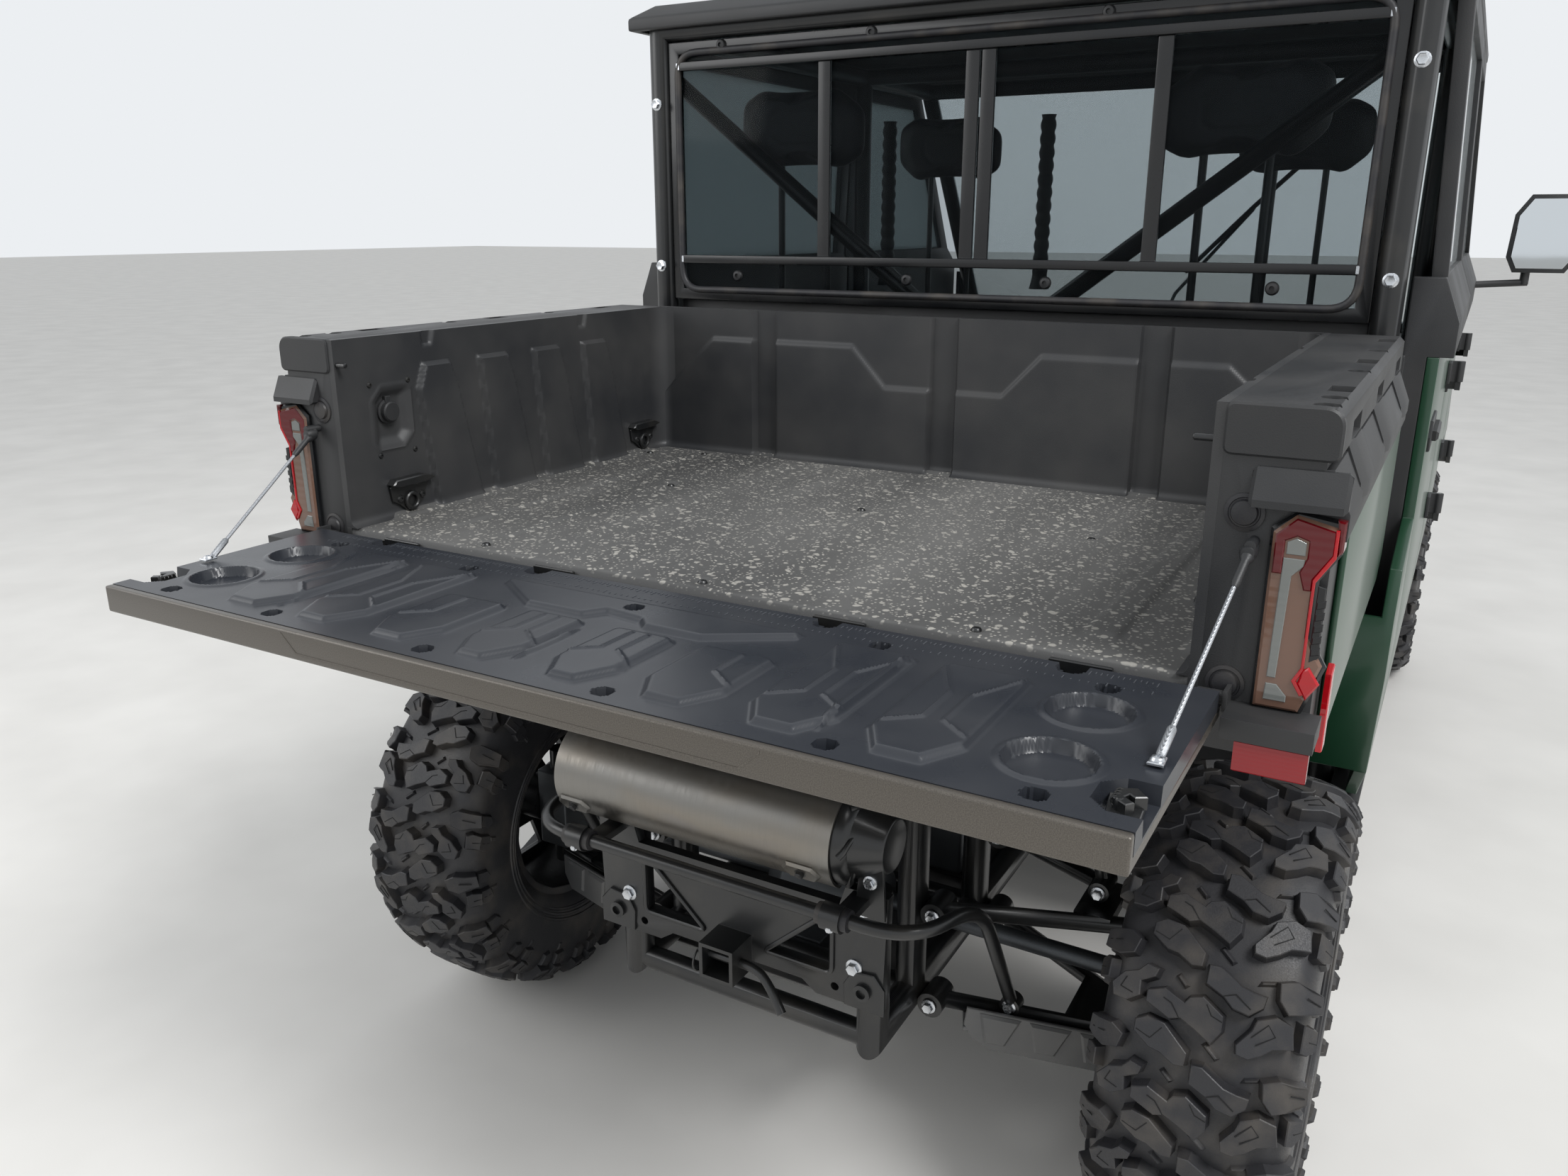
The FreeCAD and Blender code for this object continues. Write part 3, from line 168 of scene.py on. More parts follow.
# Injection moulded polypropylene: a fine leather-like grain from the mould keeps it dull
def makeMouldedPlastic(name, colour, roughness, grainMm, grainDepth, dust=0.0):
    material, tree, shader = newMaterial(name, colour, Roughness=roughness)
    grain = noiseOf(tree, grainMm, 3.0)
    addBump(tree, shader, grain.outputs["Fac"], grainDepth)
    cloud = noiseOf(tree, 160, 3.0)
    base = mixOf(tree, rampOf(tree, cloud.outputs["Fac"], 0.35, 0.7, grey(0), grey(0.25)),
                 toLinear(colour), toLinear(materialValues["dust"]))
    tinted = mixOf(tree, dust, toLinear(colour), base)
    paint(tree, shader, tinted)
    varyRoughness(tree, shader, cloud, roughness - 0.06, roughness + 0.08)
    return material


# Rotomoulded polyethylene bed floor: matt, under a grey film with dense pale rings and dots of dried water
def makeBedPlastic():
    colour = materialValues["bedBlack"]
    material, tree, shader = newMaterial("bedPolyethylene", colour, Roughness=0.55)
    coords = addNode(tree, "ShaderNodeTexCoord")
    up = lookingUp(tree, 0.6, 0.95)
    haze = noiseOf(tree, 260, 4.0, (1.0, 0.35, 1.0))
    film = rampOf(tree, haze.outputs["Fac"], 0.3, 0.75, grey(0.05), grey(0.4))
    faint = addNode(tree, "ShaderNodeMath", {"operation": "MULTIPLY"}, {0: up, 1: film})
    base = mixOf(tree, faint.outputs[0], toLinear(colour), toLinear(materialValues["bedFilm"]))
    for scale, room in ((55.0, 0.56), (140.0, 0.58)):
        spots = addNode(tree, "ShaderNodeTexVoronoi", {"Scale": scale, "Randomness": 1.0},
                        {"Vector": coords.outputs["Object"]})
        size = noiseOf(tree, 900 / scale, 2.0)
        wide = addNode(tree, "ShaderNodeMath", {"operation": "MULTIPLY", 1: room}, {0: size.outputs["Fac"]})
        near = addNode(tree, "ShaderNodeMath", {"operation": "SUBTRACT"},
                       {0: wide.outputs[0], 1: spots.outputs["Distance"]})
        spot = rampOf(tree, near.outputs[0], 0.0, 0.10, grey(0), grey(0.85))
        mask = addNode(tree, "ShaderNodeMath", {"operation": "MULTIPLY"}, {0: up, 1: spot})
        base = mixOf(tree, mask.outputs[0], base, toLinear(materialValues["bedSpot"]))
    paint(tree, shader, base)
    grain = noiseOf(tree, 1.6, 3.0)
    addBump(tree, shader, grain.outputs["Fac"], 0.25)
    return material


# Powder-coated steel: an even satin film with a faint orange peel
def makePowderCoat(name, colour, roughness):
    material, tree, shader = newMaterial(name, colour, Roughness=roughness, Coat_Weight=0.3,
                                         Coat_Roughness=0.2)
    peel = noiseOf(tree, 2.2, 2.0)
    addBump(tree, shader, peel.outputs["Fac"], 0.08)
    dirt = noiseOf(tree, 90, 4.0)
    share = rampOf(tree, dirt.outputs["Fac"], 0.5, 0.8, grey(0), grey(0.3))
    tree.links.new(mixOf(tree, share, toLinear(colour), toLinear("#4a463f")), shader.inputs["Base Color"])
    return material


# Painted steel of the gate's skin: metallic paint, satin, with a fine sparkle
def makeGatePaint():
    material, tree, shader = newMaterial("gateMetallicPaint", materialValues["gateGrey"], Metallic=0.55,
                                         Roughness=0.42, Coat_Weight=0.25, Coat_Roughness=0.3)
    flake = noiseOf(tree, 1.2, 1.0)
    tint = rampOf(tree, flake.outputs["Fac"], 0.3, 0.7, toLinear("#4e4943"), toLinear("#635e57"))
    paint(tree, shader, tint)
    addBump(tree, shader, flake.outputs["Fac"], 0.03)
    return material


# Gloss moulded body panel in dark green: deep clear gloss over faint waviness
def makeGreenPanel():
    material, tree, shader = newMaterial("greenGlossPanel", materialValues["paintGreen"], Roughness=0.34,
                                         Coat_Weight=0.3, Coat_Roughness=0.12)
    wave = noiseOf(tree, 60, 1.0)
    addBump(tree, shader, wave.outputs["Fac"], 0.12)
    return material


# Vulcanised tyre rubber: dull black-grey, dusty in its hollows and scuffed on its lugs
def makeRubber():
    colour = materialValues["rubber"]
    material, tree, shader = newMaterial("tyreRubber", colour, Roughness=0.62)
    cloud = noiseOf(tree, 55, 4.0)
    fine = noiseOf(tree, 2.0, 3.0)
    dusted = mixOf(tree, rampOf(tree, cloud.outputs["Fac"], 0.45, 0.8, grey(0), grey(0.32)),
                   toLinear(colour), toLinear("#6f675c"))
    paint(tree, shader, dusted)
    varyRoughness(tree, shader, fine, 0.42, 0.6)
    addBump(tree, shader, fine.outputs["Fac"], 0.15)
    return material


# Rolled stainless steel round the silencer: satin, brushed round it, tinted straw and blue by heat
def makeShieldSteel():
    colour = materialValues["shieldSteel"]
    material, tree, shader = newMaterial("shieldStainless", colour, Metallic=1.0, Roughness=0.36)
    heat = noiseOf(tree, 190, 2.0, (1.0, 2.0, 2.0))
    straw = mixOf(tree, rampOf(tree, heat.outputs["Fac"], 0.45, 0.62, grey(0), grey(0.3)),
                  toLinear(colour), toLinear("#8a7c68"))
    blue = mixOf(tree, rampOf(tree, heat.outputs["Fac"], 0.6, 0.75, grey(0), grey(0.3)), straw,
                 toLinear("#6c7484"))
    paint(tree, shader, blue)
    brushed = noiseOf(tree, 1.5, 2.0, (1.0, 0.05, 0.05))
    varyRoughness(tree, shader, brushed, 0.3, 0.46)
    addBump(tree, shader, brushed.outputs["Fac"], 0.02)
    return material


# Zinc-plated bolts: bright, slightly streaked
def makeZinc():
    material, tree, shader = newMaterial("zincPlate", materialValues["zinc"], Metallic=1.0, Roughness=0.28)
    streak = noiseOf(tree, 3.0, 2.0)
    varyRoughness(tree, shader, streak, 0.2, 0.4)
    return material


# Galvanised wire rope: fine diagonal strands, their grooves painted darker as painted shade and their crests
# lighter as painted highlight
def makeWireRope():
    material, tree, shader = newMaterial("galvanisedRope", materialValues["cable"], Metallic=0.9,
                                         Roughness=0.4)
    coords = addNode(tree, "ShaderNodeTexCoord")
    turned = addNode(tree, "ShaderNodeMapping", {"Rotation": (0.5, 0.0, 0.6)},
                     {"Vector": coords.outputs["Object"]})
    strands = addNode(tree, "ShaderNodeTexWave", {"Scale": 620.0, "bands_direction": "Z"},
                      {"Vector": turned.outputs["Vector"]})
    # Painted shade in the strands' grooves and painted highlight on their crests, in step with the bump
    tint = rampOf(tree, strands.outputs["Fac"], 0.2, 0.8, toLinear("#77797c"), toLinear("#b0b3b7"))
    paint(tree, shader, tint)
    addBump(tree, shader, strands.outputs["Fac"], 0.12)
    return material


# Moulded acrylic lamp lens: clear gloss over ribbed optics
def makeLens(name, colour, transmission, ribMm):
    material, tree, shader = newMaterial(name, colour, Roughness=0.08, Transmission_Weight=transmission,
                                         IOR=1.49, Coat_Weight=0.15, Coat_Roughness=0.05)
    coords = addNode(tree, "ShaderNodeTexCoord")
    ribs = addNode(tree, "ShaderNodeTexWave", {"Scale": 1000 / ribMm / 6.28, "bands_direction": "Z"},
                   {"Vector": coords.outputs["Object"]})
    addBump(tree, shader, ribs.outputs["Fac"], 0.2, 0.5)
    return material


# Polycarbonate glazing: clear gloss sheet, tinted through; shadow rays pass so that the cab is lit
def makeGlazing(name, colour, tint):
    material, tree, shader = newMaterial(name, colour, Roughness=0.02, Metallic=0.0, IOR=1.45,
                                         Specular_IOR_Level=0.5)
    film = noiseOf(tree, 140, 3.0)
    varyRoughness(tree, shader, film, 0.01, 0.06, 0.3, 0.8)
    clear = addNode(tree, "ShaderNodeBsdfTransparent", {"Color": toLinear(tint)})
    edge = addNode(tree, "ShaderNodeFresnel", {"IOR": 1.45})
    share = rampOf(tree, edge.outputs["Fac"], 0.0, 1.0, grey(0.06), grey(1.0))
    blend = addNode(tree, "ShaderNodeMixShader", None,
                    {0: share, 1: clear.outputs[0], 2: shader.outputs[0]})
    tree.links.new(blend.outputs[0], tree.nodes["Material Output"].inputs["Surface"])
    return material


# Silvered mirror glass: a bright smooth sheet, faintly waved
def makeMirror():
    material, tree, shader = newMaterial("silveredGlass", materialValues["mirror"], Metallic=1.0,
                                         Roughness=0.03)
    wave = noiseOf(tree, 80, 1.0)
    addBump(tree, shader, wave.outputs["Fac"], 0.02)
    return material


# Embossed vinyl seat cover: soft sheen over a leather-like grain
def makeVinyl():
    colour = materialValues["vinyl"]
    material, tree, shader = newMaterial("embossedVinyl", colour, Roughness=0.5, Sheen_Weight=0.15)
    coords = addNode(tree, "ShaderNodeTexCoord")
    cells = addNode(tree, "ShaderNodeTexVoronoi", {"Scale": 400.0, "feature": "DISTANCE_TO_EDGE"},
                    {"Vector": coords.outputs["Object"]})
    addBump(tree, shader, cells.outputs["Distance"], 0.4)
    return material


# Sand-cast metal, bare or painted: a coarse grain breaks up its shine
def makeCast(name, colour, metallic, roughness, grainMm):
    material, tree, shader = newMaterial(name, colour, Metallic=metallic, Roughness=roughness)
    grain = noiseOf(tree, grainMm, 3.0)
    addBump(tree, shader, grain.outputs["Fac"], 0.15)
    varyRoughness(tree, shader, grain, roughness - 0.08, roughness + 0.1)
    return material


v = materialValues
finish = {
    "trim": makeMouldedPlastic("mouldedPolypropylene", v["plasticBlack"], 0.5, 1.4, 0.22, 0.12),
    "bedWall": makeMouldedPlastic("mouldedLinerWall", v["liner"], 0.48, 1.4, 0.2, 0.2),
    "gateInner": makeMouldedPlastic("mouldedGateInner", v["gateInner"], 0.3, 0.9, 0.05, 0.1),
    "gateMark": makeMouldedPlastic("mouldedGateMark", v["gateMark"], 0.5, 0.9, 0.02, 0.1),
    "bezel": makeMouldedPlastic("glossMouldedBlack", v["glossBlack"], 0.24, 0.9, 0.02, 0.05),
    "grey": makeMouldedPlastic("mouldedGuardGrey", v["plasticGrey"], 0.5, 1.4, 0.2, 0.8),
    # Near-black strips on the tread: painted shade inside the sipe cuts
    "sipeShade": makeMouldedPlastic("paintedSipeShade", v["sipeShade"], 0.85, 1.4, 0.02, 0.0),
    "bed": makeBedPlastic(),
    "steel": makePowderCoat("powderCoatBlack", v["steelBlack"], 0.34),
    "spring": makePowderCoat("springPowderCoat", v["spring"], 0.28),
    "gatePaint": makeGatePaint(),
    "green": makeGreenPanel(),
    "rubber": makeRubber(),
    "alloy": makeCast("castAlloyBlack", v["alloyBlack"], 0.4, 0.35, 3.0),
    "shield": makeShieldSteel(),
    "zinc": makeZinc(),
    "rope": makeWireRope(),
    "red": makeLens("acrylicRed", v["lensRed"], 0.15, 5.0),
    "redBright": makeLens("acrylicRedBright", v["lensBright"], 0.05, 5.0),
    "reflex": makeLens("reflexAcrylic", v["reflexRed"], 0.0, 2.5),
    "clear": makeLens("acrylicClear", v["lensClear"], 0.35, 4.0),
    "smoke": makeLens("acrylicSmoke", v["lensSmoke"], 0.05, 6.0),
    "glassClear": makeGlazing("clearPolycarbonate", "#dfe6e8", "#f2f5f5"),
    "glassTint": makeGlazing("tintedPolycarbonate", "#20262a", "#dadee0"),
    "mirror": makeMirror(),
    "vinyl": makeVinyl(),
    "engine": makeCast("castAluminium", v["engineGrey"], 0.8, 0.5, 2.0),
}
print("materials made:", len(finish))


# Shapes: each is (points, [face arrays])

# Several shapes as one
def joined(shapes):
    points, faces, start = [], [], 0
    for shapePoints, shapeFaces in shapes:
        points.append(np.asarray(shapePoints, float))
        faces += [np.asarray(group) + start for group in shapeFaces]
        start += len(shapePoints)
    return np.concatenate(points), faces


# Local x, y and height go along two given directions and their cross product
def placed(shape, origin, xWay, yWay):
    x, y = np.array(xWay, float), np.array(yWay, float)
    z = np.cross(x, y)
    points = np.asarray(shape[0])
    return np.array(origin) + points[:, :1] * x + points[:, 1:2] * y + points[:, 2:3] * z, shape[1]


# A flat shape on a face that looks rearward: local x runs to the right, local y up
def onRear(shape, origin):
    return placed(shape, origin, (-1, 0, 0), (0, 0, 1))


# A flat shape on a face that looks to the left: local x runs rearward, local y up
def onSide(shape, origin):
    return placed(shape, origin, (0, 1, 0), (0, 0, 1))


# A shape moved by an offset
def shifted(shape, offset):
    return np.asarray(shape[0]) + np.array(offset), shape[1]


# The mirror image across the middle plane, its faces turned to stay outward
def mirrored(shape):
    return np.asarray(shape[0]) * np.array([-1, 1, 1]), [np.asarray(group)[:, ::-1] for group in shape[1]]


# A shape and its mirror image
def bothSides(shape):
    return joined([shape, mirrored(shape)])


# Rings of points joined by four-sided faces, with flat ends
def loft(rings, capped=True, looped=False):
    rings = np.asarray(rings, float)
    count, around = rings.shape[:2]
    index = np.arange(count * around).reshape(count, around)
    if looped:
        index = np.vstack([index, index[:1]])
    a, b = index[:-1], index[1:]
    quads = np.stack([a, np.roll(a, -1, 1), np.roll(b, -1, 1), b], -1).reshape(-1, 4)
    faces = [quads]
    if capped and not looped:
        faces += [index[:1, ::-1], index[-1:]]
    return rings.reshape(-1, 3), faces


# An outline set inward by a distance along the bisectors of its corners
def inset(outline, distance):
    points = np.asarray(outline, float)
    ahead = np.roll(points, -1, 0) - points
    ahead /= np.linalg.norm(ahead, axis=1)[:, None]
    behind = np.roll(ahead, 1, 0)
    normal = np.stack([-ahead[:, 1], ahead[:, 0]], 1)
    before = np.stack([-behind[:, 1], behind[:, 0]], 1)
    middle = normal + before
    size = np.sum(middle * normal, 1)
    after = np.roll(points, -1, 0)
    turn = np.sign(np.sum(points[:, 0] * after[:, 1] - points[:, 1] * after[:, 0]))
    return points + turn * distance * middle / np.maximum(size, 0.35)[:, None]


# A flat outline raised from low to high, with its upper edge chamfered, and its lower one where both is set
def pad(outline, low, high, chamfer, both=False):
    outline = np.asarray(outline, float)
    turn = np.sum(outline[:, 0] * np.roll(outline[:, 1], -1) - outline[:, 1] * np.roll(outline[:, 0], -1))
    if turn < 0:
        outline = outline[::-1]
    levels = [(0, high - chamfer), (chamfer, high)]
    levels = ([(chamfer, low), (0, low + chamfer)] if both else [(0, low)]) + levels
    rings = [np.c_[inset(outline, d) if d else outline, np.full(len(outline), z)] for d, z in levels]
    return loft(rings)


# A block between two corners, chamfered round its top and bottom
def box(low, high, chamfer=0.0015):
    outline = [(low[0], low[1]), (high[0], low[1]), (high[0], high[1]), (low[0], high[1])]
    return pad(outline, low[2], high[2], chamfer, True)


# Points round a circle, or round a regular outline with few sides
def ringOf(radius, sides, turn=0.0):
    angles = np.arange(sides) * 2 * math.pi / sides + turn
    return np.c_[radius * np.cos(angles), radius * np.sin(angles)]


# A (radius, height) profile turned about the local z axis
def lathe(profile, sides=32, capped=True, looped=False):
    return loft([np.c_[ringOf(r, sides), np.full(sides, z)] for r, z in profile], capped, looped)


# A round section carried along a path; each ring stands square to the path
def tube(path, radius, sides=16, up=(0, 0, 1)):
    path = np.asarray(path, float)
    along = np.gradient(path, axis=0)
    along /= np.linalg.norm(along, axis=1)[:, None]
    side = np.cross(along, np.array(up, float))
    side /= np.linalg.norm(side, axis=1)[:, None]
    over = np.cross(side, along)
    ring = ringOf(1.0, sides)
    radii = np.broadcast_to(np.asarray(radius, float), (len(path),))
    circle = ring[None, :, :1] * side[:, None] + ring[None, :, 1:] * over[:, None]
    return loft(path[:, None] + radii[:, None, None] * circle)


# A smooth line through corners: each corner is rounded by a quadratic curve of the given reach
def roundedPath(corners, reach, steps=8):
    corners = np.asarray(corners, float)
    points = [corners[0]]
    for before, corner, after in zip(corners[:-2], corners[1:-1], corners[2:]):
        first = corner + (before - corner) * min(0.5, reach / np.linalg.norm(before - corner))
        last = corner + (after - corner) * min(0.5, reach / np.linalg.norm(after - corner))
        t = np.linspace(0, 1, steps)[:, None]
        points += list((1 - t) ** 2 * first + 2 * t * (1 - t) * corner + t * t * last)
    return np.array(points + [corners[-1]])


# A closed outline with its corners rounded
def rounded(corners, reach, steps=6):
    corners = np.asarray(corners, float)
    wrapped = np.vstack([corners[-1:], corners, corners[:1]])
    points = roundedPath(wrapped, reach, steps)[1:-1]
    return points[np.linalg.norm(points - np.roll(points, -1, 0), axis=1) > 1e-6]


# A round section carried along a closed flat path whose plane has the given normal
def hoop(path, radius, normal, sides=10):
    path, normal = np.asarray(path, float), np.array(normal, float)
    out = np.cross(np.roll(path, -1, 0) - np.roll(path, 1, 0), normal)
    out /= np.linalg.norm(out, axis=1)[:, None]
    circle = ringOf(radius, sides)
    return loft(path[:, None] + circle[None, :, :1] * out[:, None] + circle[None, :, 1:] * normal,
                looped=True)


# A sheet of height(u, v) over a rectangle, closed by a skirt and a flat back at -depth
def relief(size, step, height, depth):
    us = np.linspace(0, size[0], max(2, int(round(size[0] / step)) + 1))
    vs = np.linspace(0, size[1], max(2, int(round(size[1] / step)) + 1))
    u, v = np.meshgrid(us, vs, indexing="ij")
    h = height(u, v)
    rows, columns = u.shape
    top = np.stack([u, v, h], -1).reshape(-1, 3)
    index = np.arange(rows * columns).reshape(rows, columns)
    quads = np.stack([index[:-1, :-1], index[1:, :-1], index[1:, 1:], index[:-1, 1:]], -1).reshape(-1, 4)
    edge = np.concatenate([index[:, 0], index[-1, 1:], index[-2::-1, -1], index[0, -2:0:-1]])
    low = top[edge] * np.array([1, 1, 0]) + np.array([0, 0, -depth])
    start = len(top)
    lowIndex = start + np.arange(len(edge))
    centre = np.array([[size[0] / 2, size[1] / 2, -depth]])
    skirt = np.stack([edge, lowIndex, np.roll(lowIndex, -1), np.roll(edge, -1)], -1)
    back = np.stack([np.roll(lowIndex, -1), lowIndex, np.full(len(edge), start + len(edge))], -1)
    return np.concatenate([top, low, centre]), [quads, skirt, back]


# Distance from points (u, v) to a broken line
def lineDistance(u, v, corners, closed=False):
    ends = corners[1:] + corners[:1] if closed else corners[1:]
    best = np.full(u.shape, 1e9)
    for (ax, ay), (bx, by) in zip(corners, ends):
        dx, dy = bx - ax, by - ay
        t = np.clip(((u - ax) * dx + (v - ay) * dy) / (dx * dx + dy * dy), 0, 1)
        best = np.minimum(best, np.hypot(u - ax - t * dx, v - ay - t * dy))
    return best


# Distance to an outline, below zero inside it
def outlineDistance(u, v, corners):
    inside = np.zeros(u.shape, bool)
    for (ax, ay), (bx, by) in zip(corners, corners[1:] + corners[:1]):
        crosses = (ay > v) != (by > v)
        inside ^= crosses & (u < (bx - ax) * (v - ay) / (by - ay if by != ay else 1e-9) + ax)
    distance = lineDistance(u, v, corners, True)
    return np.where(inside, -distance, distance)


# 0 outside, rising smoothly to 1 over a width inside the edge
def rise(distance, width):
    t = np.clip(-distance / width, 0, 1)
    return t * t * (3 - 2 * t)


# A raised line of a given width
def ridge(distance, width):
    t = np.clip(1 - distance / width, 0, 1)
    return t * t * (3 - 2 * t)


# One piece from shapes: a closed mesh with its faces outward, its sharp edges kept and its material set
def makePiece(name, shapes, material, body, sharp=32.0, replaces=()):
    points, faces = joined(shapes)
    mesh = bpy.data.meshes.new(name)
    sizes = np.concatenate([np.full(len(group), group.shape[1]) for group in faces])
    loops = np.concatenate([group.ravel() for group in faces])
    mesh.vertices.add(len(points))
    mesh.vertices.foreach_set("co", points.astype(np.float32).ravel())
    mesh.loops.add(len(loops))
    mesh.loops.foreach_set("vertex_index", loops.astype(np.int32))
    mesh.polygons.add(len(sizes))
    mesh.polygons.foreach_set("loop_start", np.concatenate([[0], np.cumsum(sizes)[:-1]]).astype(np.int32))
    mesh.update(calc_edges=True)
    mesh.validate()
    form = bmesh.new()
    form.from_mesh(mesh)
    bmesh.ops.recalc_face_normals(form, faces=form.faces)
    form.to_mesh(mesh)
    form.free()
    return finishPiece(name, mesh, material, body, sharp, replaces)


# Smooth shading with sharp edges, the material, the body that carries the piece, and the replaced CAD nodes
# hidden
def finishPiece(name, mesh, material, body, sharp, replaces):
    mesh.polygons.foreach_set("use_smooth", np.ones(len(mesh.polygons), bool))
    mesh.set_sharp_from_angle(angle=math.radians(sharp))
    mesh.materials.append(finish[material])
    piece = bpy.data.objects.new(name, mesh)
    scene.collection.objects.link(piece)
    if body:
        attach(piece, body)
    if replaces:
        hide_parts(*replaces)
    return piece


# A copy of a CAD node with its triangles merged into faces and its corners eased
def dress(node, material, ease=0.003, angle=25.0, sharp=32.0):
    mesh = frame["nodes"][node].data.copy()
    mesh.materials.clear()
    form = bmesh.new()
    form.from_mesh(mesh)
    bmesh.ops.remove_doubles(form, verts=form.verts, dist=2e-5)
    bmesh.ops.dissolve_limit(form, angle_limit=math.radians(1.0), verts=form.verts, edges=form.edges)
    if ease:
        steep = math.radians(angle)
        corners = [e for e in form.edges if len(e.link_faces) == 2 and e.calc_face_angle(0) > steep]
        bmesh.ops.bevel(form, geom=corners, offset=ease, segments=2, profile=0.6, affect="EDGES",
                        clamp_overlap=True)
    form.to_mesh(mesh)
    form.free()
    return finishPiece(node + "_eased", mesh, material, bodyOf(node), sharp, (node,))


# The body that carries a CAD node
def bodyOf(node):
    for body, nodes in frame["record"]["behaviour"]["bodies"].items():
        if node in nodes:
            return body
    return None


# Tyres

# Lugs of one pitch in millimetres, outward from the middle and along the tread, then the lug's height
tyreValues = {
    "pitches": 18, "lugHeight": 0.019, "draft": 0.0035, "chamfer": 0.0012, "sides": 108,
    "sipeShadeWidth": 0.0007, "rings": (0.40, 0.418, 0.437),
    "lugs": [
        ([(-67, 14), (-47, 22), (-20, 11), (-14, 20), (2, 25), (30, 8), (31, -11), (20, -29), (-1, -18),
          (-22, -9), (-35, -14), (-67, -1)], 19),
        ([(-75, -26), (-62, -18), (-39, -21), (-6, -49), (-7, -66), (-20, -68), (-39, -58), (-54, -56),
          (-75, -41)], 19),
        ([(2, -61), (16, -60), (45, -77), (61, -80), (75, -81), (73, -95), (59, -109), (39, -106), (26, -95),
          (2, -85)], 19),
        ([(50, -20), (65, 2), (69, 16), (90, 26), (108, 20), (112, -8), (92, -14), (80, -25), (66, -34),
          (52, -32)], 19),
        ([(121, 26), (143, 23), (145, -5), (130, -13), (121, -10)], 15),
        ([(87, -58), (106, -50), (140, -55), (143, -80), (115, -90), (102, -95), (90, -80)], 17),
        ([(-112, 10), (-100, 28), (-82, 35), (-73, 46), (-58, 43), (-61, 32), (-77, 22), (-75, 4), (-92, -8),
          (-108, -6)], 19),
        ([(-121, 14), (-143, 10), (-145, 38), (-130, 44), (-121, 40)], 15),
        ([(-88, -52), (-104, -42), (-138, -44), (-142, -70), (-112, -78), (-94, -72)], 17),
        ([(11, -36), (14, -33), (31, -47), (28, -50)], 5),
        ([(66, 60), (68, 64), (84, 69), (83, 65)], 5),
        ([(-36, -86), (-33, -83), (-21, -94), (-24, -97)], 5),
        ([(145, 26), (166, 23), (172, -2), (158, -12), (145, -8)], 8),
        ([(144, -57), (164, -58), (171, -72), (160, -84), (144, -80)], 7),
        ([(-145, 37), (-166, 35), (-172, 10), (-158, 1), (-145, 6)], 8),
        ([(-143, -46), (-164, -48), (-171, -62), (-160, -74), (-143, -70)], 7),
        ([(174, 16), (186, 14), (187, 6), (175, 6)], 3),
        ([(-174, 28), (-186, 26), (-187, 18), (-175, 18)], 3),
    ],
    # The sipe cuts as paths with lug heights, drawn as thin near-black lines of painted shade
    "grooves": [
        ([(-46, 10), (-35, 6), (-23, -9)], 19), ([(8, 17), (16, 5), (30, 1)], 19),
        ([(-72, -38), (-54, -44), (-41, -27)], 19), ([(26, -94), (40, -88), (60, -101)], 19),
        ([(66, -6), (82, 14), (92, 2), (72, -14)], 19), ([(-96, 22), (-101, 8), (-84, 4)], 19),
        ([(130, 6), (144, 5)], 15), ([(118, -66), (136, -70)], 17), ([(-130, 26), (-144, 25)], 15),
        ([(-112, -58), (-130, -60)], 17), ([(150, 8), (166, 6)], 8), ([(-150, 20), (-166, 18)], 8),
    ],
}


# The carcass as a smooth (across, radius) line from bead to bead
def carcassLine(radius, width, rimRadius):
    half = width / 2
    crown = radius - tyreValues["lugHeight"] - 0.003
    right = [(0.7 * half, rimRadius), (0.78 * half, rimRadius + 0.008), (0.93 * half, rimRadius + 0.04),
             (0.965 * half, rimRadius + 0.085), (0.93 * half, crown - 0.034), (0.80 * half, crown - 0.012),
             (0.5 * half, crown - 0.002), (0.2 * half, crown)]
    return right + [(-x, r) for x, r in reversed(right)]


# Maps (t, s, height) to a point: t runs along the carcass line from the crown, s round the tyre and
# height off it
def onTyre(points, line, crown):
    line = np.asarray(line, float)[::-1]
    run = np.concatenate([[0], np.cumsum(np.linalg.norm(np.diff(line, axis=0), axis=1))])
    run -= run[-1] / 2
    fine = np.linspace(run[0], run[-1], 400)
    kernel = np.ones(21) / 21
    even = [np.pad(np.interp(fine, run, line[:, k]), 10, "edge") for k in (0, 1)]
    xs, rs = (np.convolve(values, kernel, "valid") for values in even)
    nx, nr = -np.gradient(rs, fine), np.gradient(xs, fine)
    size = np.hypot(nx, nr)
    t, s, h = points[:, 0], points[:, 1], points[:, 2]
    across = np.interp(t, fine, xs) + h * np.interp(t, fine, nx / size)
    radius = np.interp(t, fine, rs) + h * np.interp(t, fine, nr / size)
    angle = s / crown
    return np.c_[across, radius * np.sin(angle), -radius * np.cos(angle)]


# Long edges of an outline divided so that a lug bends with the tyre
def divided(outline, longest=0.02):
    points = []
    for a, b in zip(outline, outline[1:] + outline[:1]):
        parts = max(1, int(math.ceil(math.dist(a, b) / longest)))
        points += [(a[0] + (b[0] - a[0]) * k / parts, a[1] + (b[1] - a[1]) * k / parts) for k in range(parts)]
    return points


# One lug: its outline flares out below the tread face by the mould's draft, and the face has a fine chamfer
def lugShape(outline, height):
    flat = np.array(divided([(x * mm, y * mm) for x, y in outline]))
    turn = np.sum(flat[:, 0] * np.roll(flat[:, 1], -1) - flat[:, 1] * np.roll(flat[:, 0], -1))
    flat = flat[::-1] if turn < 0 else flat
    high, draft, chamfer = height * mm, tyreValues["draft"], tyreValues["chamfer"]
    rings = [(-draft, -0.003), (-draft * 0.25, high * 0.45), (0, high - chamfer), (chamfer, high)]
    return loft([np.c_[inset(flat, d) if d else flat, np.full(len(flat), z)] for d, z in rings])
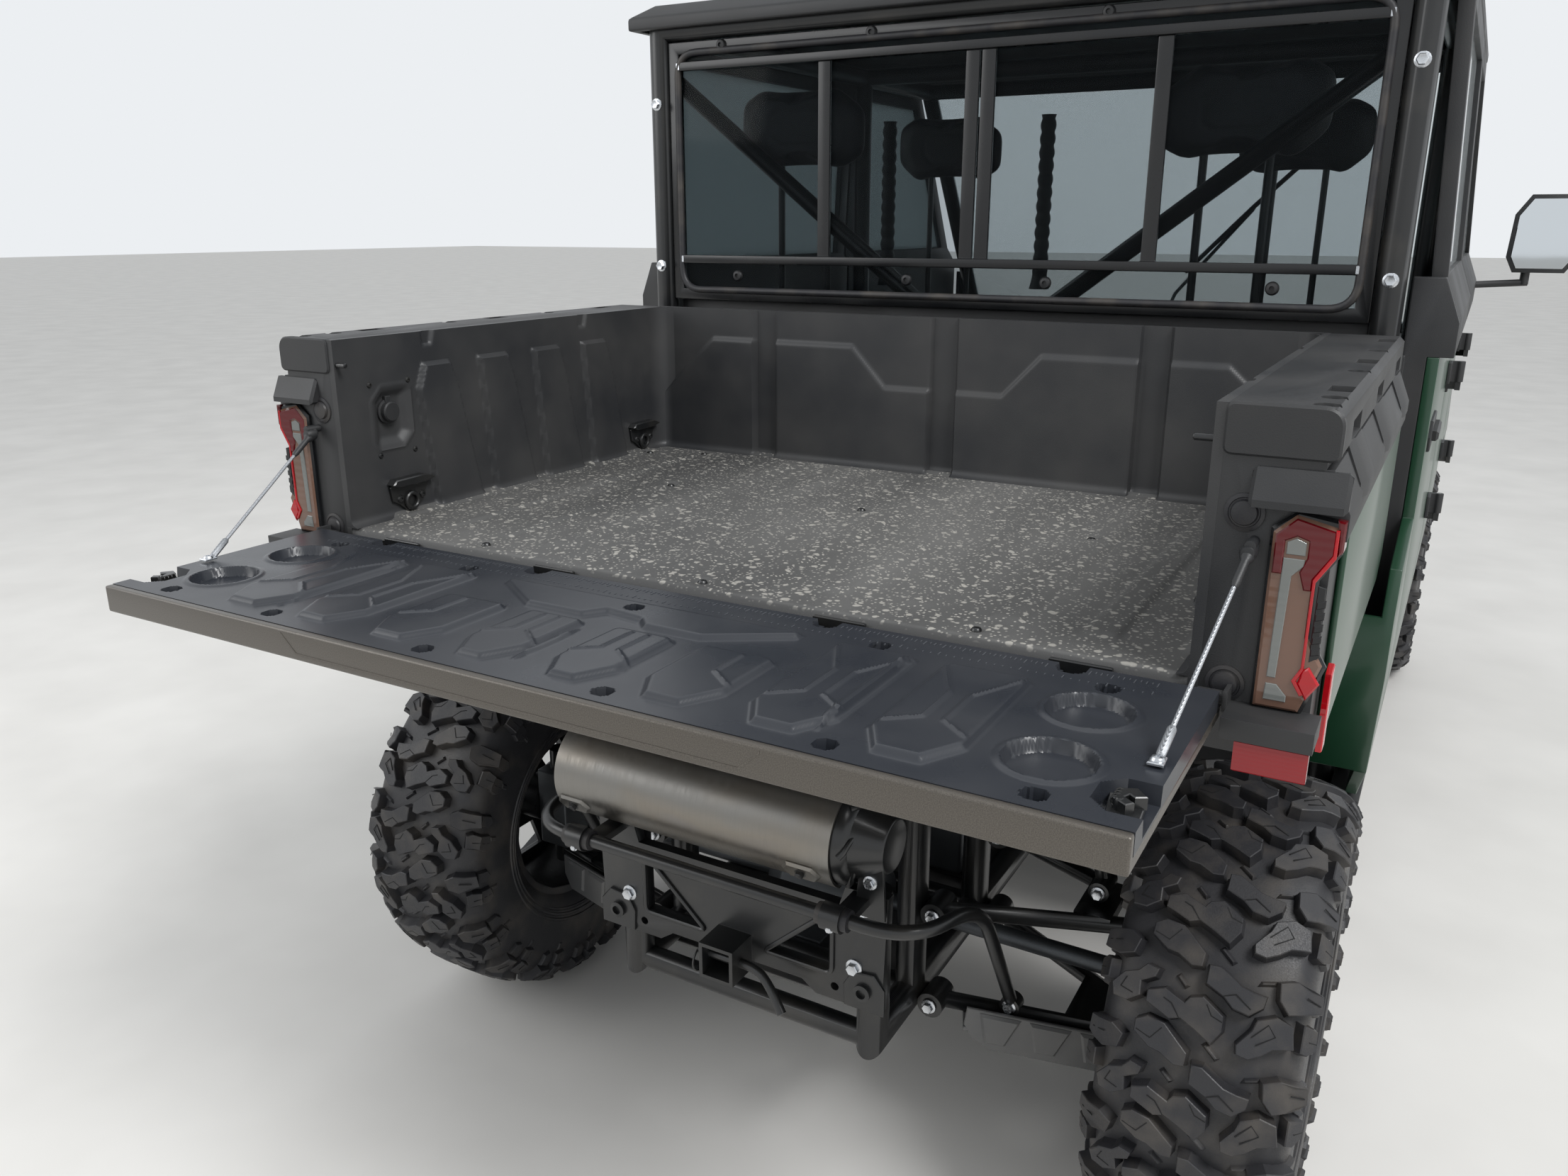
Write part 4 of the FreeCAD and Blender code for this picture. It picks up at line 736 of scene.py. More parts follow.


# A thin dark line of four-sided section along a path on a lug's face: painted shade standing for the shadow
# inside the sipe cut there
def sipeShadeStrip(path, height):
    path = np.array(path, float) * mm
    along = np.gradient(path, axis=0)
    side = np.stack([-along[:, 1], along[:, 0]], 1) / np.linalg.norm(along, axis=1)[:, None]
    wide, high = tyreValues["sipeShadeWidth"], height * mm
    corners = ((-wide, high - 0.001), (wide, high - 0.001), (wide, high + 0.0002), (-wide, high + 0.0002))
    rings = np.stack([np.c_[path + side * reach, np.full(len(path), level)] for reach, level in corners], 1)
    return loft(rings)


# Rings along the carcass line, one pitch of lugs and of the dark lines of painted sipe shade repeated round
# them, and thin sidewall rings
def makeTyre(radius, width, rimRadius):
    line = carcassLine(radius, width, rimRadius)
    crown = radius - tyreValues["lugHeight"] - 0.003
    sides = tyreValues["sides"]
    length = np.sum(np.linalg.norm(np.diff(np.asarray(line), axis=0), axis=1))
    s = np.arange(sides) * 2 * math.pi * crown / sides
    rings = [onTyre(np.c_[np.full(sides, at), s, np.zeros(sides)], line, crown)
             for at in np.linspace(-0.5, 0.5, 61) * length]
    inner = [rings[-1] * np.array([0.97, 0.93, 0.93]), rings[0] * np.array([0.97, 0.93, 0.93])]
    tread, sipeShades = [loft(rings + inner, looped=True)], []
    pitch = 2 * math.pi * crown / tyreValues["pitches"]
    for shapes, table, make in ((tread, tyreValues["lugs"], lugShape),
                                (sipeShades, tyreValues["grooves"], sipeShadeStrip)):
        for outline, height in table:
            points, faces = make(outline, height)
            for k in range(tyreValues["pitches"]):
                shapes.append((onTyre(points + np.array([0, k * pitch, 0]), line, crown), faces))
    for at in tyreValues["rings"]:
        for side in (-1, 1):
            ring = [onTyre(np.c_[np.full(sides, side * at * length + d), s, np.full(sides, h)], line, crown)
                    for d, h in ((-0.004, -0.001), (-0.002, 0.0025), (0.002, 0.0025), (0.004, -0.001))]
            tread.append(loft(ring, looped=True))
    return joined(tread), joined(sipeShades)


wheelValues = {"nuts": 4, "nutCircle": 0.068, "nutSize": 0.009, "capRadius": 0.036, "hubEnd": 0.088,
               "discFace": 0.064}


# Wheel nuts round a shallow domed cap, local z pointing outward
def hubFittings():
    edge = wheelValues["capRadius"]
    cap = lathe([(0.001, 0.012), (0.018, 0.0115), (edge, 0.007), (edge, 0.0)], 32)
    nuts = [shifted(flangeBolt(wheelValues["nutSize"]), (x, y, 0))
            for x, y in ringOf(wheelValues["nutCircle"], wheelValues["nuts"], 0.6)]
    return cap, nuts


# A flange bolt: a low domed washer under a hexagon with a chamfered top and a dished face
def flangeBolt(size):
    washer = lathe([(size * 1.35, 0.0), (size * 1.3, size * 0.18), (size * 0.9, size * 0.34)], 20)
    head = loft([np.c_[ringOf(size * share, 6), np.full(6, size * z)]
                 for share, z in ((1.0, 0.25), (1.0, 0.9), (0.86, 1.05), (0.6, 0.98))])
    return joined([washer, head])


# A round-headed screw with a dark socket
def roundScrew(size):
    return lathe([(size * 1.2, 0.0), (size * 1.15, size * 0.2), (size * 0.9, size * 0.55),
                  (size * 0.45, size * 0.65), (size * 0.4, size * 0.3), (size * 0.02, size * 0.3)], 18)


# Puts a shape with its local z along a given way
def facing(shape, place, way):
    way = np.array(way, float) / np.linalg.norm(way)
    spare = np.array((0, 0, 1.0)) if abs(way[2]) < 0.9 else np.array((1.0, 0, 0))
    x = np.cross(spare, way)
    x /= np.linalg.norm(x)
    return placed(shape, place, x, np.cross(way, x))


# A shape with its local z turned rearward
def rearward(shape, place):
    return facing(shape, place, (0, 1, 0))


# Each wheel: tread, dark lines of painted shade in the sipe cuts, rim, hub cap and nuts
def addTyres():
    low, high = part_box("tyre_rear_left")
    rimLow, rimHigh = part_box("rim_rear_left")
    tread, sipeShades = makeTyre((high.z - low.z) / 2, high.x - low.x, (rimHigh.z - rimLow.z) / 2)
    cap, nuts = hubFittings()
    for end in ("front", "rear"):
        for side in ("left", "right"):
            wheel = end + "_" + side
            nodeLow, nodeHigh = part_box("tyre_" + wheel)
            centre = (nodeLow + nodeHigh) / 2
            turn = mirrored if side == "right" else (lambda shape: shape)
            body = "wheel_" + wheel
            makePiece("tyre_" + wheel + "_tread", [shifted(turn(tread), centre)], "rubber", body,
                      sharp=28.0, replaces=("tyre_" + wheel,))
            # Thin near-black strips on the lugs: painted shade inside the sipe cuts
            makePiece("tyre_" + wheel + "_sipes", [shifted(turn(sipeShades), centre)], "sipeShade", body)
            dress("rim_" + wheel, "alloy")
            rimLow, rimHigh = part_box("rim_" + wheel)
            out = 1 if side == "left" else -1
            middle = (rimHigh.x + rimLow.x) / 2
            ends = [(middle + out * wheelValues[key], centre.y, centre.z) for key in ("hubEnd", "discFace")]
            makePiece("hubCap_" + wheel, [facing(cap, ends[0], (out, 0, 0))], "trim", body)
            makePiece("wheelNuts_" + wheel, [facing(nut, ends[1], (out, 0, 0)) for nut in nuts], "zinc", body)
    print("tyres made")


addTyres()


# Dump bed

bedValues = {
    "ribCount": 4, "ribPitch": 0.148, "ribWidth": 0.100, "ribRise": 0.010, "ribTop": 0.258, "ribLean": 0.026,
    "channels": [-0.41, 0.0, 0.41], "channelHalf": 0.026, "channelDepth": 0.010, "stepRise": 0.006,
    "floorRibs": 11, "grid": 0.0035, "wall": 0.012,
    "floorScrews": [(0.0, 1.235), (0.415, 1.235), (-0.415, 1.235), (0.0, 1.745), (0.415, 1.745),
                    (-0.415, 1.745), (0.54, 0.93), (-0.54, 0.93), (0.655, 0.975), (-0.655, 0.975)],
    "hooks": [0.040, 0.723], "socket": (0.794, 0.182),
    "socketScrews": [(0.749, 0.231), (0.833, 0.231), (0.746, 0.110), (0.823, 0.110)],
}
bedLow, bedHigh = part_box("bed_liner")
bedWall = bedValues["wall"]
bedFloor = bedLow.z + bedWall
bedHalf = bedHigh.x - bedWall
bedFront = bedLow.y + bedWall + bedValues["channelDepth"]
bedRear = bedHigh.y
bedTop = bedHigh.z
bedDepth = bedRear - bedFront
wallHeight = bedTop - bedFloor


# The hollow of a rounded inner corner: a quarter circle that meets the wall
def cove(distance, radius):
    d = np.clip(distance, 0, radius)
    return radius - np.sqrt(np.maximum(radius ** 2 - (radius - d) ** 2, 0))


# The recess round the power socket: a rectangle with two corners cut
def socketOutline():
    u0, u1, v0, v1, c = 0.749, 0.829, 0.122, 0.222, 0.020
    return [(u0 + c, v0), (u1 - 0.006, v0), (u1, v0 + 0.006), (u1, v1 - c), (u1 - c, v1), (u0 + 0.006, v1),
            (u0, v1 - 0.006), (u0, v0 + c)]


# Side wall seen from inside: u runs rearward from the front wall, v up from the floor; ribs rise steeply at
# their rear edge and slowly at their front one
def sideWallHeight(u, v, withSocket):
    b = bedValues
    h = np.zeros(u.shape)
    top = b["ribTop"]
    for k in range(b["ribCount"]):
        first = b["ribPitch"] * (k + 1.25)
        last = first + b["ribWidth"]
        frontFoot, rearFoot = first - 2 * b["ribLean"], last - b["ribLean"]
        corners = [(frontFoot, -0.05), (rearFoot, -0.05), (last, top), (first + 0.02, top),
                   (first + 0.004, top - 0.045)]
        if k == b["ribCount"] - 1:
            corners[2:3] = [(last + 0.004, top - 0.046), (last - 0.014, top)]
        ease = np.clip((u - frontFoot - (first - frontFoot) * v / top) / 0.03 + 0.3, 0, 1)
        h = np.maximum(h, b["ribRise"] * rise(outlineDistance(u, v, corners), 0.007) * ease)
    for start in (0.250, 0.672):
        notch = [(start, 0.33), (start + 0.014, 0.284), (start + 0.038, 0.284), (start + 0.038, 0.33)]
        h -= 0.005 * rise(outlineDistance(u, v, notch), 0.006)
    h += cove(v, 0.014) + cove(u, 0.045) * 0.8
    if withSocket:
        edge = outlineDistance(u, v, socketOutline())
        h += 0.0022 * ridge(np.abs(edge - 0.003), 0.003)
        h = np.where(edge < 0, -0.010 * rise(edge, 0.018), h)
    return h


# Front wall: u runs from left to right across the bed, v up; its lower part stands proud up to a stepped line
def frontWallHeight(u, v):
    b = bedValues
    x = np.abs(u - bedHalf)
    step = np.interp(x, [0, 0.125, 0.2, 0.54, 0.62, 0.682], [0.172, 0.172, 0.252, 0.252, 0.18, 0.12])
    h = b["stepRise"] * rise(v - step, 0.010)
    for centre in b["channels"]:
        away = np.abs(u - bedHalf - centre) - b["channelHalf"]
        h = np.where(away < 0.004, h + (-b["channelDepth"] - h) * rise(away - 0.004, 0.006), h)
    return h + cove(v, 0.014) + cove(np.minimum(u, 2 * bedHalf - u), 0.03) * 0.8


# Floor: u runs across from the left, v rearward; shallow ribs run fore and aft and the rear lip is rounded
def floorHeight(u, v):
    pitch = 2 * bedHalf / bedValues["floorRibs"]
    across = np.abs((u / pitch + 0.5) % 1.0 - 0.5) * pitch
    rib = 0.0035 * rise(across - 0.026, 0.010) * rise(0.05 - v, 0.03) * rise(v - bedDepth + 0.07, 0.03)
    edge = np.minimum(u, 2 * bedHalf - u)
    lip = cove(bedDepth - v, 0.012)
    h = rib - lip + cove(np.minimum(edge, v), 0.012) * 0.5
    for x, y in bedValues["floorScrews"]:
        away = np.hypot(u - bedHalf - x, v - (y - bedFront)) - 0.017
        h = h * (1 - rise(away, 0.004)) - 0.003 * rise(away, 0.008)
    return h


# A tie-down hook on the wall in (u, v, out): a plate with a hooded top edge, a ring and two screws
def tieDown():
    plate = pad([(0.0, 0.050), (0.012, 0.030), (0.022, 0.012), (0.040, 0.000), (0.056, 0.000), (0.076, 0.016),
                 (0.088, 0.022), (0.092, 0.046), (0.084, 0.056), (0.030, 0.060)], -0.002, 0.006, 0.001)
    hood = pad([(-0.004, 0.052), (0.020, 0.046), (0.080, 0.046), (0.094, 0.052), (0.086, 0.060),
                (0.020, 0.061)], -0.002, 0.018, 0.002)
    ringPath = np.c_[ringOf(0.013, 24), np.full(24, 0.009)] + np.array([0.048, 0.018, 0])
    ring = hoop(ringPath, 0.0042, (0, 0, 1))
    return [plate, hood, ring]


# A shape in (rearward, up, inward) set on a side wall of the bed
def onWall(shape, side):
    right = onSide(shape, (-bedHalf, bedFront, bedFloor))
    return right if side == "right" else mirrored(right)


# Floor and walls as reliefs, then screws, hooks and the power socket
def addBed():
    b = bedValues
    across = 2 * bedHalf
    floor = placed(relief((across, bedDepth), 0.0045, floorHeight, bedWall), (-bedHalf, bedFront, bedFloor),
                   (1, 0, 0), (0, 1, 0))
    walls = {side: onWall(relief((bedDepth, wallHeight), b["grid"],
                                 lambda u, v: sideWallHeight(u, v, side == "left"), bedWall), side)
             for side in ("left", "right")}
    front = onRear(relief((across, wallHeight), b["grid"], frontWallHeight,
                          bedWall + b["channelDepth"] - 0.001), (bedHalf, bedFront, bedFloor))
    back = bedLow.y
    edges = []
    for side in (-1, 1):
        low, high = sorted((side * bedHalf, side * (bedHalf + bedWall)))
        edges.append(box((low, back, bedFloor - bedWall), (high, bedFront + 0.001, bedTop)))
        edges.append(box((low, bedFront, bedFloor - bedWall), (high, bedRear, bedFloor + 0.001)))
    edges.append(box((-bedHalf - bedWall, back, bedFloor - bedWall),
                     (bedHalf + bedWall, bedFront, bedFloor + 0.001)))
    makePiece("bedLinerFloor", [floor], "bed", "bed", sharp=40.0, replaces=("bed_liner",))
    makePiece("bedLinerWalls", [walls["left"], walls["right"], front] + edges, "bedWall", "bed", sharp=40.0)
    screws = [facing(roundScrew(0.0062), (x, y, bedFloor - 0.0025), (0, 0, 1)) for x, y in b["floorScrews"]]
    hooks, bolts = [], []
    for side in ("left", "right"):
        for start in b["hooks"]:
            hooks += [onWall(shifted(shape, (start, 0.006, 0.0)), side) for shape in tieDown()]
            bolts += [onWall(shifted(roundScrew(0.006), (start + du, 0.030, 0.006)), side)
                      for du in (0.022, 0.072)]
    for du, dv in b["socketScrews"]:
        bolts.append(onWall(shifted(roundScrew(0.0042), (du, dv, 0.0)), "left"))
    makePiece("bedFloorScrews", screws, "steel", "bed")
    makePiece("tieDownHooks", hooks, "steel", "bed")
    makePiece("bedWallScrews", bolts, "steel", "bed")
    u, v = b["socket"]
    cap = lathe([(0.021, 0.0), (0.021, 0.005), (0.017, 0.006), (0.017, 0.014), (0.015, 0.0165),
                 (0.001, 0.017)], 32)
    tab = pad([(-0.005, 0.012), (0.005, 0.012), (0.006, 0.026), (-0.006, 0.026)], 0.0, 0.008, 0.001)
    socket = [onWall(shifted(shape, (u, v, -0.010)), "left") for shape in (cap, tab)]
    makePiece("powerSocket", socket, "trim", "bed")
    print("bed made")


addBed()


# Tailgate, lying open

gateValues = {
    "pads": [(0.022, 0.118, 0.180), (0.154, 0.262, 0.180), (0.292, 0.400, 0.090), (0.430, 0.540, 0.090)],
    "padFar": 0.350, "padRise": 0.0065, "padCorner": 0.028, "slope": 0.009, "ridge": 0.0024, "grid": 0.0026,
    "cups": [(0.615, 0.144), (0.615, 0.278)], "cupRadius": 0.047, "cupDepth": 0.012, "gap": 0.018,
    "holes": [(0.136, 0.354), (0.412, 0.354), (0.625, 0.354), (0.337, 0.071), (0.614, 0.071), (0.0, 0.114)],
    "notches": [0.241, 0.561],
    "panel": [(0.238, 0.104), (0.142, 0.168), (0.046, 0.168), (0.026, 0.140), (-0.030, 0.148),
              (-0.050, 0.168), (-0.138, 0.168), (-0.242, 0.104), (-0.242, 0.084), (0.238, 0.084)],
}
gateLow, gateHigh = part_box("tailgate_liner")
gateLevel = gateHigh.z - 0.004
gateDepth = gateHigh.y - gateLow.y


# The gate's inner face: u runs from its left end, v from the hinge; raised pads with sloped edges and cut
# corners, thin Y-shaped ridges, cups, holes, hinge notches and latch cut-outs
def gateHeight(u, v):
    g = gateValues
    x = gateHigh.x - u
    h = g["padRise"] * rise(outlineDistance(x, v, g["panel"]), g["slope"])
    c, far = g["padCorner"], g["padFar"]
    for side in (-1, 1):
        for low, high, near in g["pads"]:
            outline = [(low + 0.008, near), (high - 0.008, near), (high, near + 0.010), (high, far - 1.8 * c),
                       (high - c, far), (low + c, far), (low, far - 1.8 * c), (low, near + 0.010)]
            h += g["padRise"] * rise(outlineDistance(x * side, v, outline), g["slope"])
            mid = (low + high) / 2
            for way in (-1, 1):
                start = [(mid + way * 0.046, 0.112), (mid + way * 0.012, 0.182)]
                if near > 0.1:
                    start = [(mid + way * 0.012, 0.197)]
                if 0.15 < mid < 0.25 and way < 0:
                    continue
                line = start + [(mid + way * 0.012, 0.256), (mid + way * 0.044, 0.282)]
                h += g["ridge"] * ridge(lineDistance(x * side, v, line), 0.0035)
        for cx, cy in g["cups"]:
            cup = np.hypot(x * side - cx, v - cy) - g["cupRadius"]
            rim = 0.0022 * rise(cup - 0.008, 0.004)
            h = np.where(cup < 0.008, rim - (g["cupDepth"] + 0.0022) * rise(cup, 0.005), h)
        latch = [(0.672, 0.300), (0.690, 0.282), (0.80, 0.282), (0.80, 0.352), (0.690, 0.352), (0.672, 0.335)]
        h = np.where(outlineDistance(x * side, v, latch) < 0, -0.020, h)
        for hx, hy in g["holes"]:
            h = np.where(np.hypot(x * side - hx, v - hy) < 0.0125, -0.018, h)
        for nx in g["notches"]:
            h = np.where(np.hypot(x * side - nx, np.maximum(v - g["gap"] - 0.012, 0)) < 0.016, -0.014, h)
    for spear, first in ((0.430, 0.10), (0.018, 0.20), (-0.388, 0.10)):
        away = np.abs(x - spear) / np.interp(v, [first, first + 0.05, 0.28, 0.335],
                                             [0.0005, 0.006, 0.006, 0.0005])
        inside = (v > first) & (v < 0.335)
        spine = 0.004 * np.clip(1.2 - away, 0, 1) - 0.003 * np.clip(0.35 - away, 0, 1) / 0.35
        h += np.where(inside, spine, 0)
    return h - 0.016 * (v < g["gap"])


# Two scales of small raised marks along the hinge edge, as on a rule without its figures
def rulerTicks():
    ticks = []
    for first, pitch, level, sizes in ((0.030, 0.0127 / 2, 1, (0.012, 0.005, 0.008, 0.005)),
                                       (0.066, 0.010, -1, (0.009, 0.004, 0.004, 0.004, 0.004))):
        for k in range(int(1.32 / pitch)):
            x = -0.66 + k * pitch
            if min(abs(abs(x) - n) for n in gateValues["notches"]) < 0.022 and first < 0.05:
                continue
            reach = sizes[k % len(sizes)] * level
            low, high = sorted((first, first + reach))
            corners = np.array([(x - 0.0006, low), (x + 0.0006, low), (x + 0.0006, high), (x - 0.0006, high)])
            ticks.append(loft([np.c_[corners, np.full(4, z)] for z in (-0.001, 0.0007)]))
    return joined(ticks)


# A latch at the gate's corner in (x, v, up): two cheek plates round a notched claw and its pin
def latchShapes():
    cheek = pad([(0.678, 0.296), (0.712, 0.292), (0.716, 0.338), (0.700, 0.344), (0.684, 0.336)], -0.018,
                -0.010, 0.001)
    claw = pad([(0.690, 0.304), (0.704, 0.298), (0.716, 0.312), (0.706, 0.318), (0.700, 0.313),
                (0.697, 0.320), (0.708, 0.328), (0.702, 0.336), (0.688, 0.326)], -0.012, 0.001, 0.001)
    pin = shifted(lathe([(0.0042, -0.012), (0.0042, 0.0), (0.003, 0.002), (0.0005, 0.002)], 16),
                  (0.694, 0.326, 0))
    spring = tube([(0.690 + 0.004 * math.cos(a), 0.305 + 0.0009 * a, -0.003 + 0.004 * math.sin(a))
                   for a in np.linspace(0, 25, 90)], 0.0009, 6)
    return [cheek, pin, spring], [claw]


# A shape in (across, rearward, up) set on the open gate
def onGate(shape):
    return placed(shape, (0, gateLow.y, gateLevel), (1, 0, 0), (0, 1, 0))


# The inner face as a relief, then its rule, latches, skin and the crease below its lip
def addGate():
    size = (gateHigh.x - gateLow.x, gateDepth)
    inner = relief(size, gateValues["grid"], gateHeight, gateLevel - gateLow.z - 0.0005)
    flipped = (inner[0] * np.array([-1, 1, 1]), inner[1])
    makePiece("tailgateInner", [placed(flipped, (gateHigh.x, gateLow.y, gateLevel), (1, 0, 0), (0, 1, 0))],
              "gateInner", "tailgate", sharp=38.0, replaces=("tailgate_liner",))
    makePiece("gateRule", [onGate(rulerTicks())], "gateMark", "tailgate")
    bright, dark = latchShapes()
    makePiece("gateLatches", [bothSides(onGate(shape)) for shape in bright], "steel", "tailgate")
    makePiece("gateLatchClaws", [bothSides(onGate(shape)) for shape in dark], "steel", "tailgate")
    dress("tailgate_skin", "gatePaint")
    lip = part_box("tailgate_skin")[1].y
    outline = [(0.348, 0.0), (0.322, -0.024), (-0.334, -0.024), (-0.36, 0.0)]
    ribs = [placed(pad([(x, z), (x2, z2), (x2, z2 - 0.0035), (x, z - 0.0035)], -0.0004, 0.0016, 0.0012),
                   (0, lip, gateHigh.z - 0.008), (1, 0, 0), (0, 0, 1))
            for (x, z), (x2, z2) in zip(outline[:-1], outline[1:])]
    makePiece("gateLipCrease", ribs, "gatePaint", "tailgate")
    print("gate made")


addGate()


# Tail lamps, in millimetres from the lamp's lower inner corner

lampValues = {
    "bezel": [(-3, -3), (49, -3), (68, 54), (50, 84), (50, 148), (68, 178), (68, 213), (22, 220), (-3, 200)],
    "body": [(0, 0), (46, 0), (64, 56), (46, 86), (46, 146), (64, 176), (64, 206), (21, 216), (0, 196)],
    "hook": [(3, 194), (22, 213), (61, 203), (61, 178), (44, 150), (44, 137), (36, 137), (30, 156), (36, 172),
             (36, 190), (24, 194), (13, 188), (13, 152), (3, 152)],
    "window": [(15, 174), (34, 174), (34, 188), (24, 192), (15, 187)],
    "bar": [(13, 170), (34, 170), (34, 163), (23, 151), (20, 36), (11, 36)],
    "foot": [(11, 29), (22, 29), (33, 17), (33, 10), (10, 10)],
    "line": [(60, 205), (60, 178), (44, 150), (44, 52), (36, 36), (46, 20), (50, 22), (41, 36), (47, 50),
             (47, 147), (63.5, 175), (63.5, 205)],
    "cells": [(50, 58), (61, 66), (58, 88), (58, 142), (50, 144)],
    "arrow": [(46, 50), (52, 54), (64, 36), (52, 16), (42, 34)],
    "side": [(64, 176), (69, 182), (69, 214), (60, 215), (62, 204)],
}
lampLow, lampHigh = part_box("tail_lamps")
lampCorner = (lampHigh.x - 0.067, bedFloor - 0.016)


# A lamp shape in (inward-to-outward, up) millimetres raised from the lamp's back between two depths
def lampPad(outline, low, high, chamfer=0.0008):
    shape = pad([(-x * mm, z * mm) for x, z in outline], low * mm, high * mm, chamfer)
    return onRear(shape, (lampCorner[0], bedRear, lampCorner[1]))


# Each lamp: flat shapes stacked outward, with its mirror image on the other side
def addTailLamps():
    v = lampValues
    flat = [
        ("tailLampBezels", [lampPad(v["bezel"], 0.4, 7.5, 0.003)], "bezel", ("tail_lamps",)),
        ("tailLampBodies", [lampPad(v["body"], 6, 10.5, 0.003)], "smoke", ()),
        ("tailLampHooks", [lampPad(v["hook"], 9.5, 12.5, 0.0015)], "red", ()),
        ("tailLampBars", [lampPad(v[key], 9.5, 12.0) for key in ("window", "bar", "foot")], "clear", ()),
        ("tailLampLines", [lampPad(v["line"], 9.5, 12.6, 0.0006), lampPad(v["arrow"], 9.5, 13.0, 0.002)],
         "redBright", ()),
        ("tailLampSides", [lampPad(v["side"], -18, 11.0, 0.002)], "red", ()),
    ]
    cells = [lampPad([(51, z), (60, z + 3), (60, z + 11), (51, z + 8)], 9.5, 11.5, 0.0008)
             for z in range(66, 130, 13)]
    flat.append(("tailLampCells", [lampPad(v["cells"], 9.0, 10.8)] + cells, "bezel", ()))
    low = (lampHigh.x - 0.075, lampHigh.y - 0.011, lampLow.z)
    plate = box(low, (lampHigh.x, lampHigh.y - 0.002, lampLow.z + 0.0357), 0.0015)
    flat.append(("rearReflectors", [plate], "reflex", ()))
    side = onSide(pad([(-0.014, -0.05), (0.012, -0.05), (0.014, 0.045), (-0.012, 0.05)], -0.002, 0.005,
                      0.0012), (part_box("bed_side_panels")[1].x, bedRear - 0.07, bedFloor - 0.035))
    flat.append(("sideReflectors", [side], "redBright", ()))
    for name, shapes, material, nodes in flat:
        makePiece(name, [bothSides(shape) for shape in shapes], material, "bed", replaces=nodes)
    print("tail lamps made")


addTailLamps()


# Bed posts: rubber stops, screws, rail pins and the facets on the fairings

postValues = {"stops": [(0.722, 0.195), (0.722, 0.0)], "screws": [(0.803, 0.168), (0.803, 0.078)],
              "facets": [0.965, 1.30, 1.61],
              "facet": [(0.798, 1.3515), (0.808, 1.3515), (0.8275, 1.305), (0.8275, 1.288), (0.800, 1.298)],
              "end": [(0.6925, 1.3475), (0.8085, 1.3475), (0.8085, 1.392), (0.797, 1.4035), (0.6925, 1.4035)]}


# The turned stops and screws, the latch pins, and the mouldings at the rails' ends
def addPosts():
    stop = lathe([(0.021, -0.001), (0.021, 0.0018), (0.017, 0.0028), (0.016, 0.0018), (0.0145, 0.0018),
                  (0.013, 0.0052), (0.008, 0.0062), (0.0008, 0.0066)], 28)
    stops = [bothSides(rearward(stop, (x, bedRear, bedFloor + z))) for x, z in postValues["stops"]]
    makePiece("gateStops", stops, "rubber", "bed")
    screws = [bothSides(rearward(roundScrew(0.0052), (x, bedRear, bedFloor + z)))
              for x, z in postValues["screws"]]
    pin = facing(lathe([(0.004, 0.0), (0.004, 0.024), (0.003, 0.0255), (0.0005, 0.026)], 16),
                 (bedHalf + 0.004, bedRear - 0.006, bedTop - 0.040), (-1, 0, 0))
    makePiece("postScrews", screws, "zinc", "bed")
    makePiece("latchPins", [bothSides(pin)], "steel", "bed")
    shrouds = [bothSides(box((x - 0.038, bedRear + 0.0004, bedFloor - 0.042),
                             (x + 0.038, bedRear + 0.006, bedFloor - 0.005)))
               for x in gateValues["notches"]]
    makePiece("hingeShrouds", shrouds, "steel", "bed")
    facets = []
    for y in postValues["facets"]:
        rings = []
        for at, out in ((-0.058, -0.006), (-0.046, 0.0), (0.022, 0.0), (0.048, -0.006)):
            rings.append([(x + out, y + at, z) for x, z in postValues["facet"]])
        facets.append(loft(rings))
    shell = onRear(pad(rounded([(-x, z) for x, z in postValues["end"]], 0.010), -0.010, 0.0032, 0.0025),
                   (0, bedRear, 0))
    brow = onSide(pad([(1.778, 1.338), (1.784, 1.338), (1.799, 1.305), (1.799, 1.297), (1.778, 1.297)], 0.726,
                      0.8225, 0.004, True), (0, 0, 0))
    makePiece("railEnds", [bothSides(shape) for shape in facets + [shell, brow]], "trim", "bed", sharp=24.0)
    print("posts made")


addPosts()


# Tailgate stays: a taut wire rope between a booted ball joint on the post and a crimped eye on the gate

stayValues = {"rope": 0.0026, "boot": 0.0047, "bootLength": 0.048, "crimp": 0.0048, "crimpLength": 0.040,
              "rings": 60}
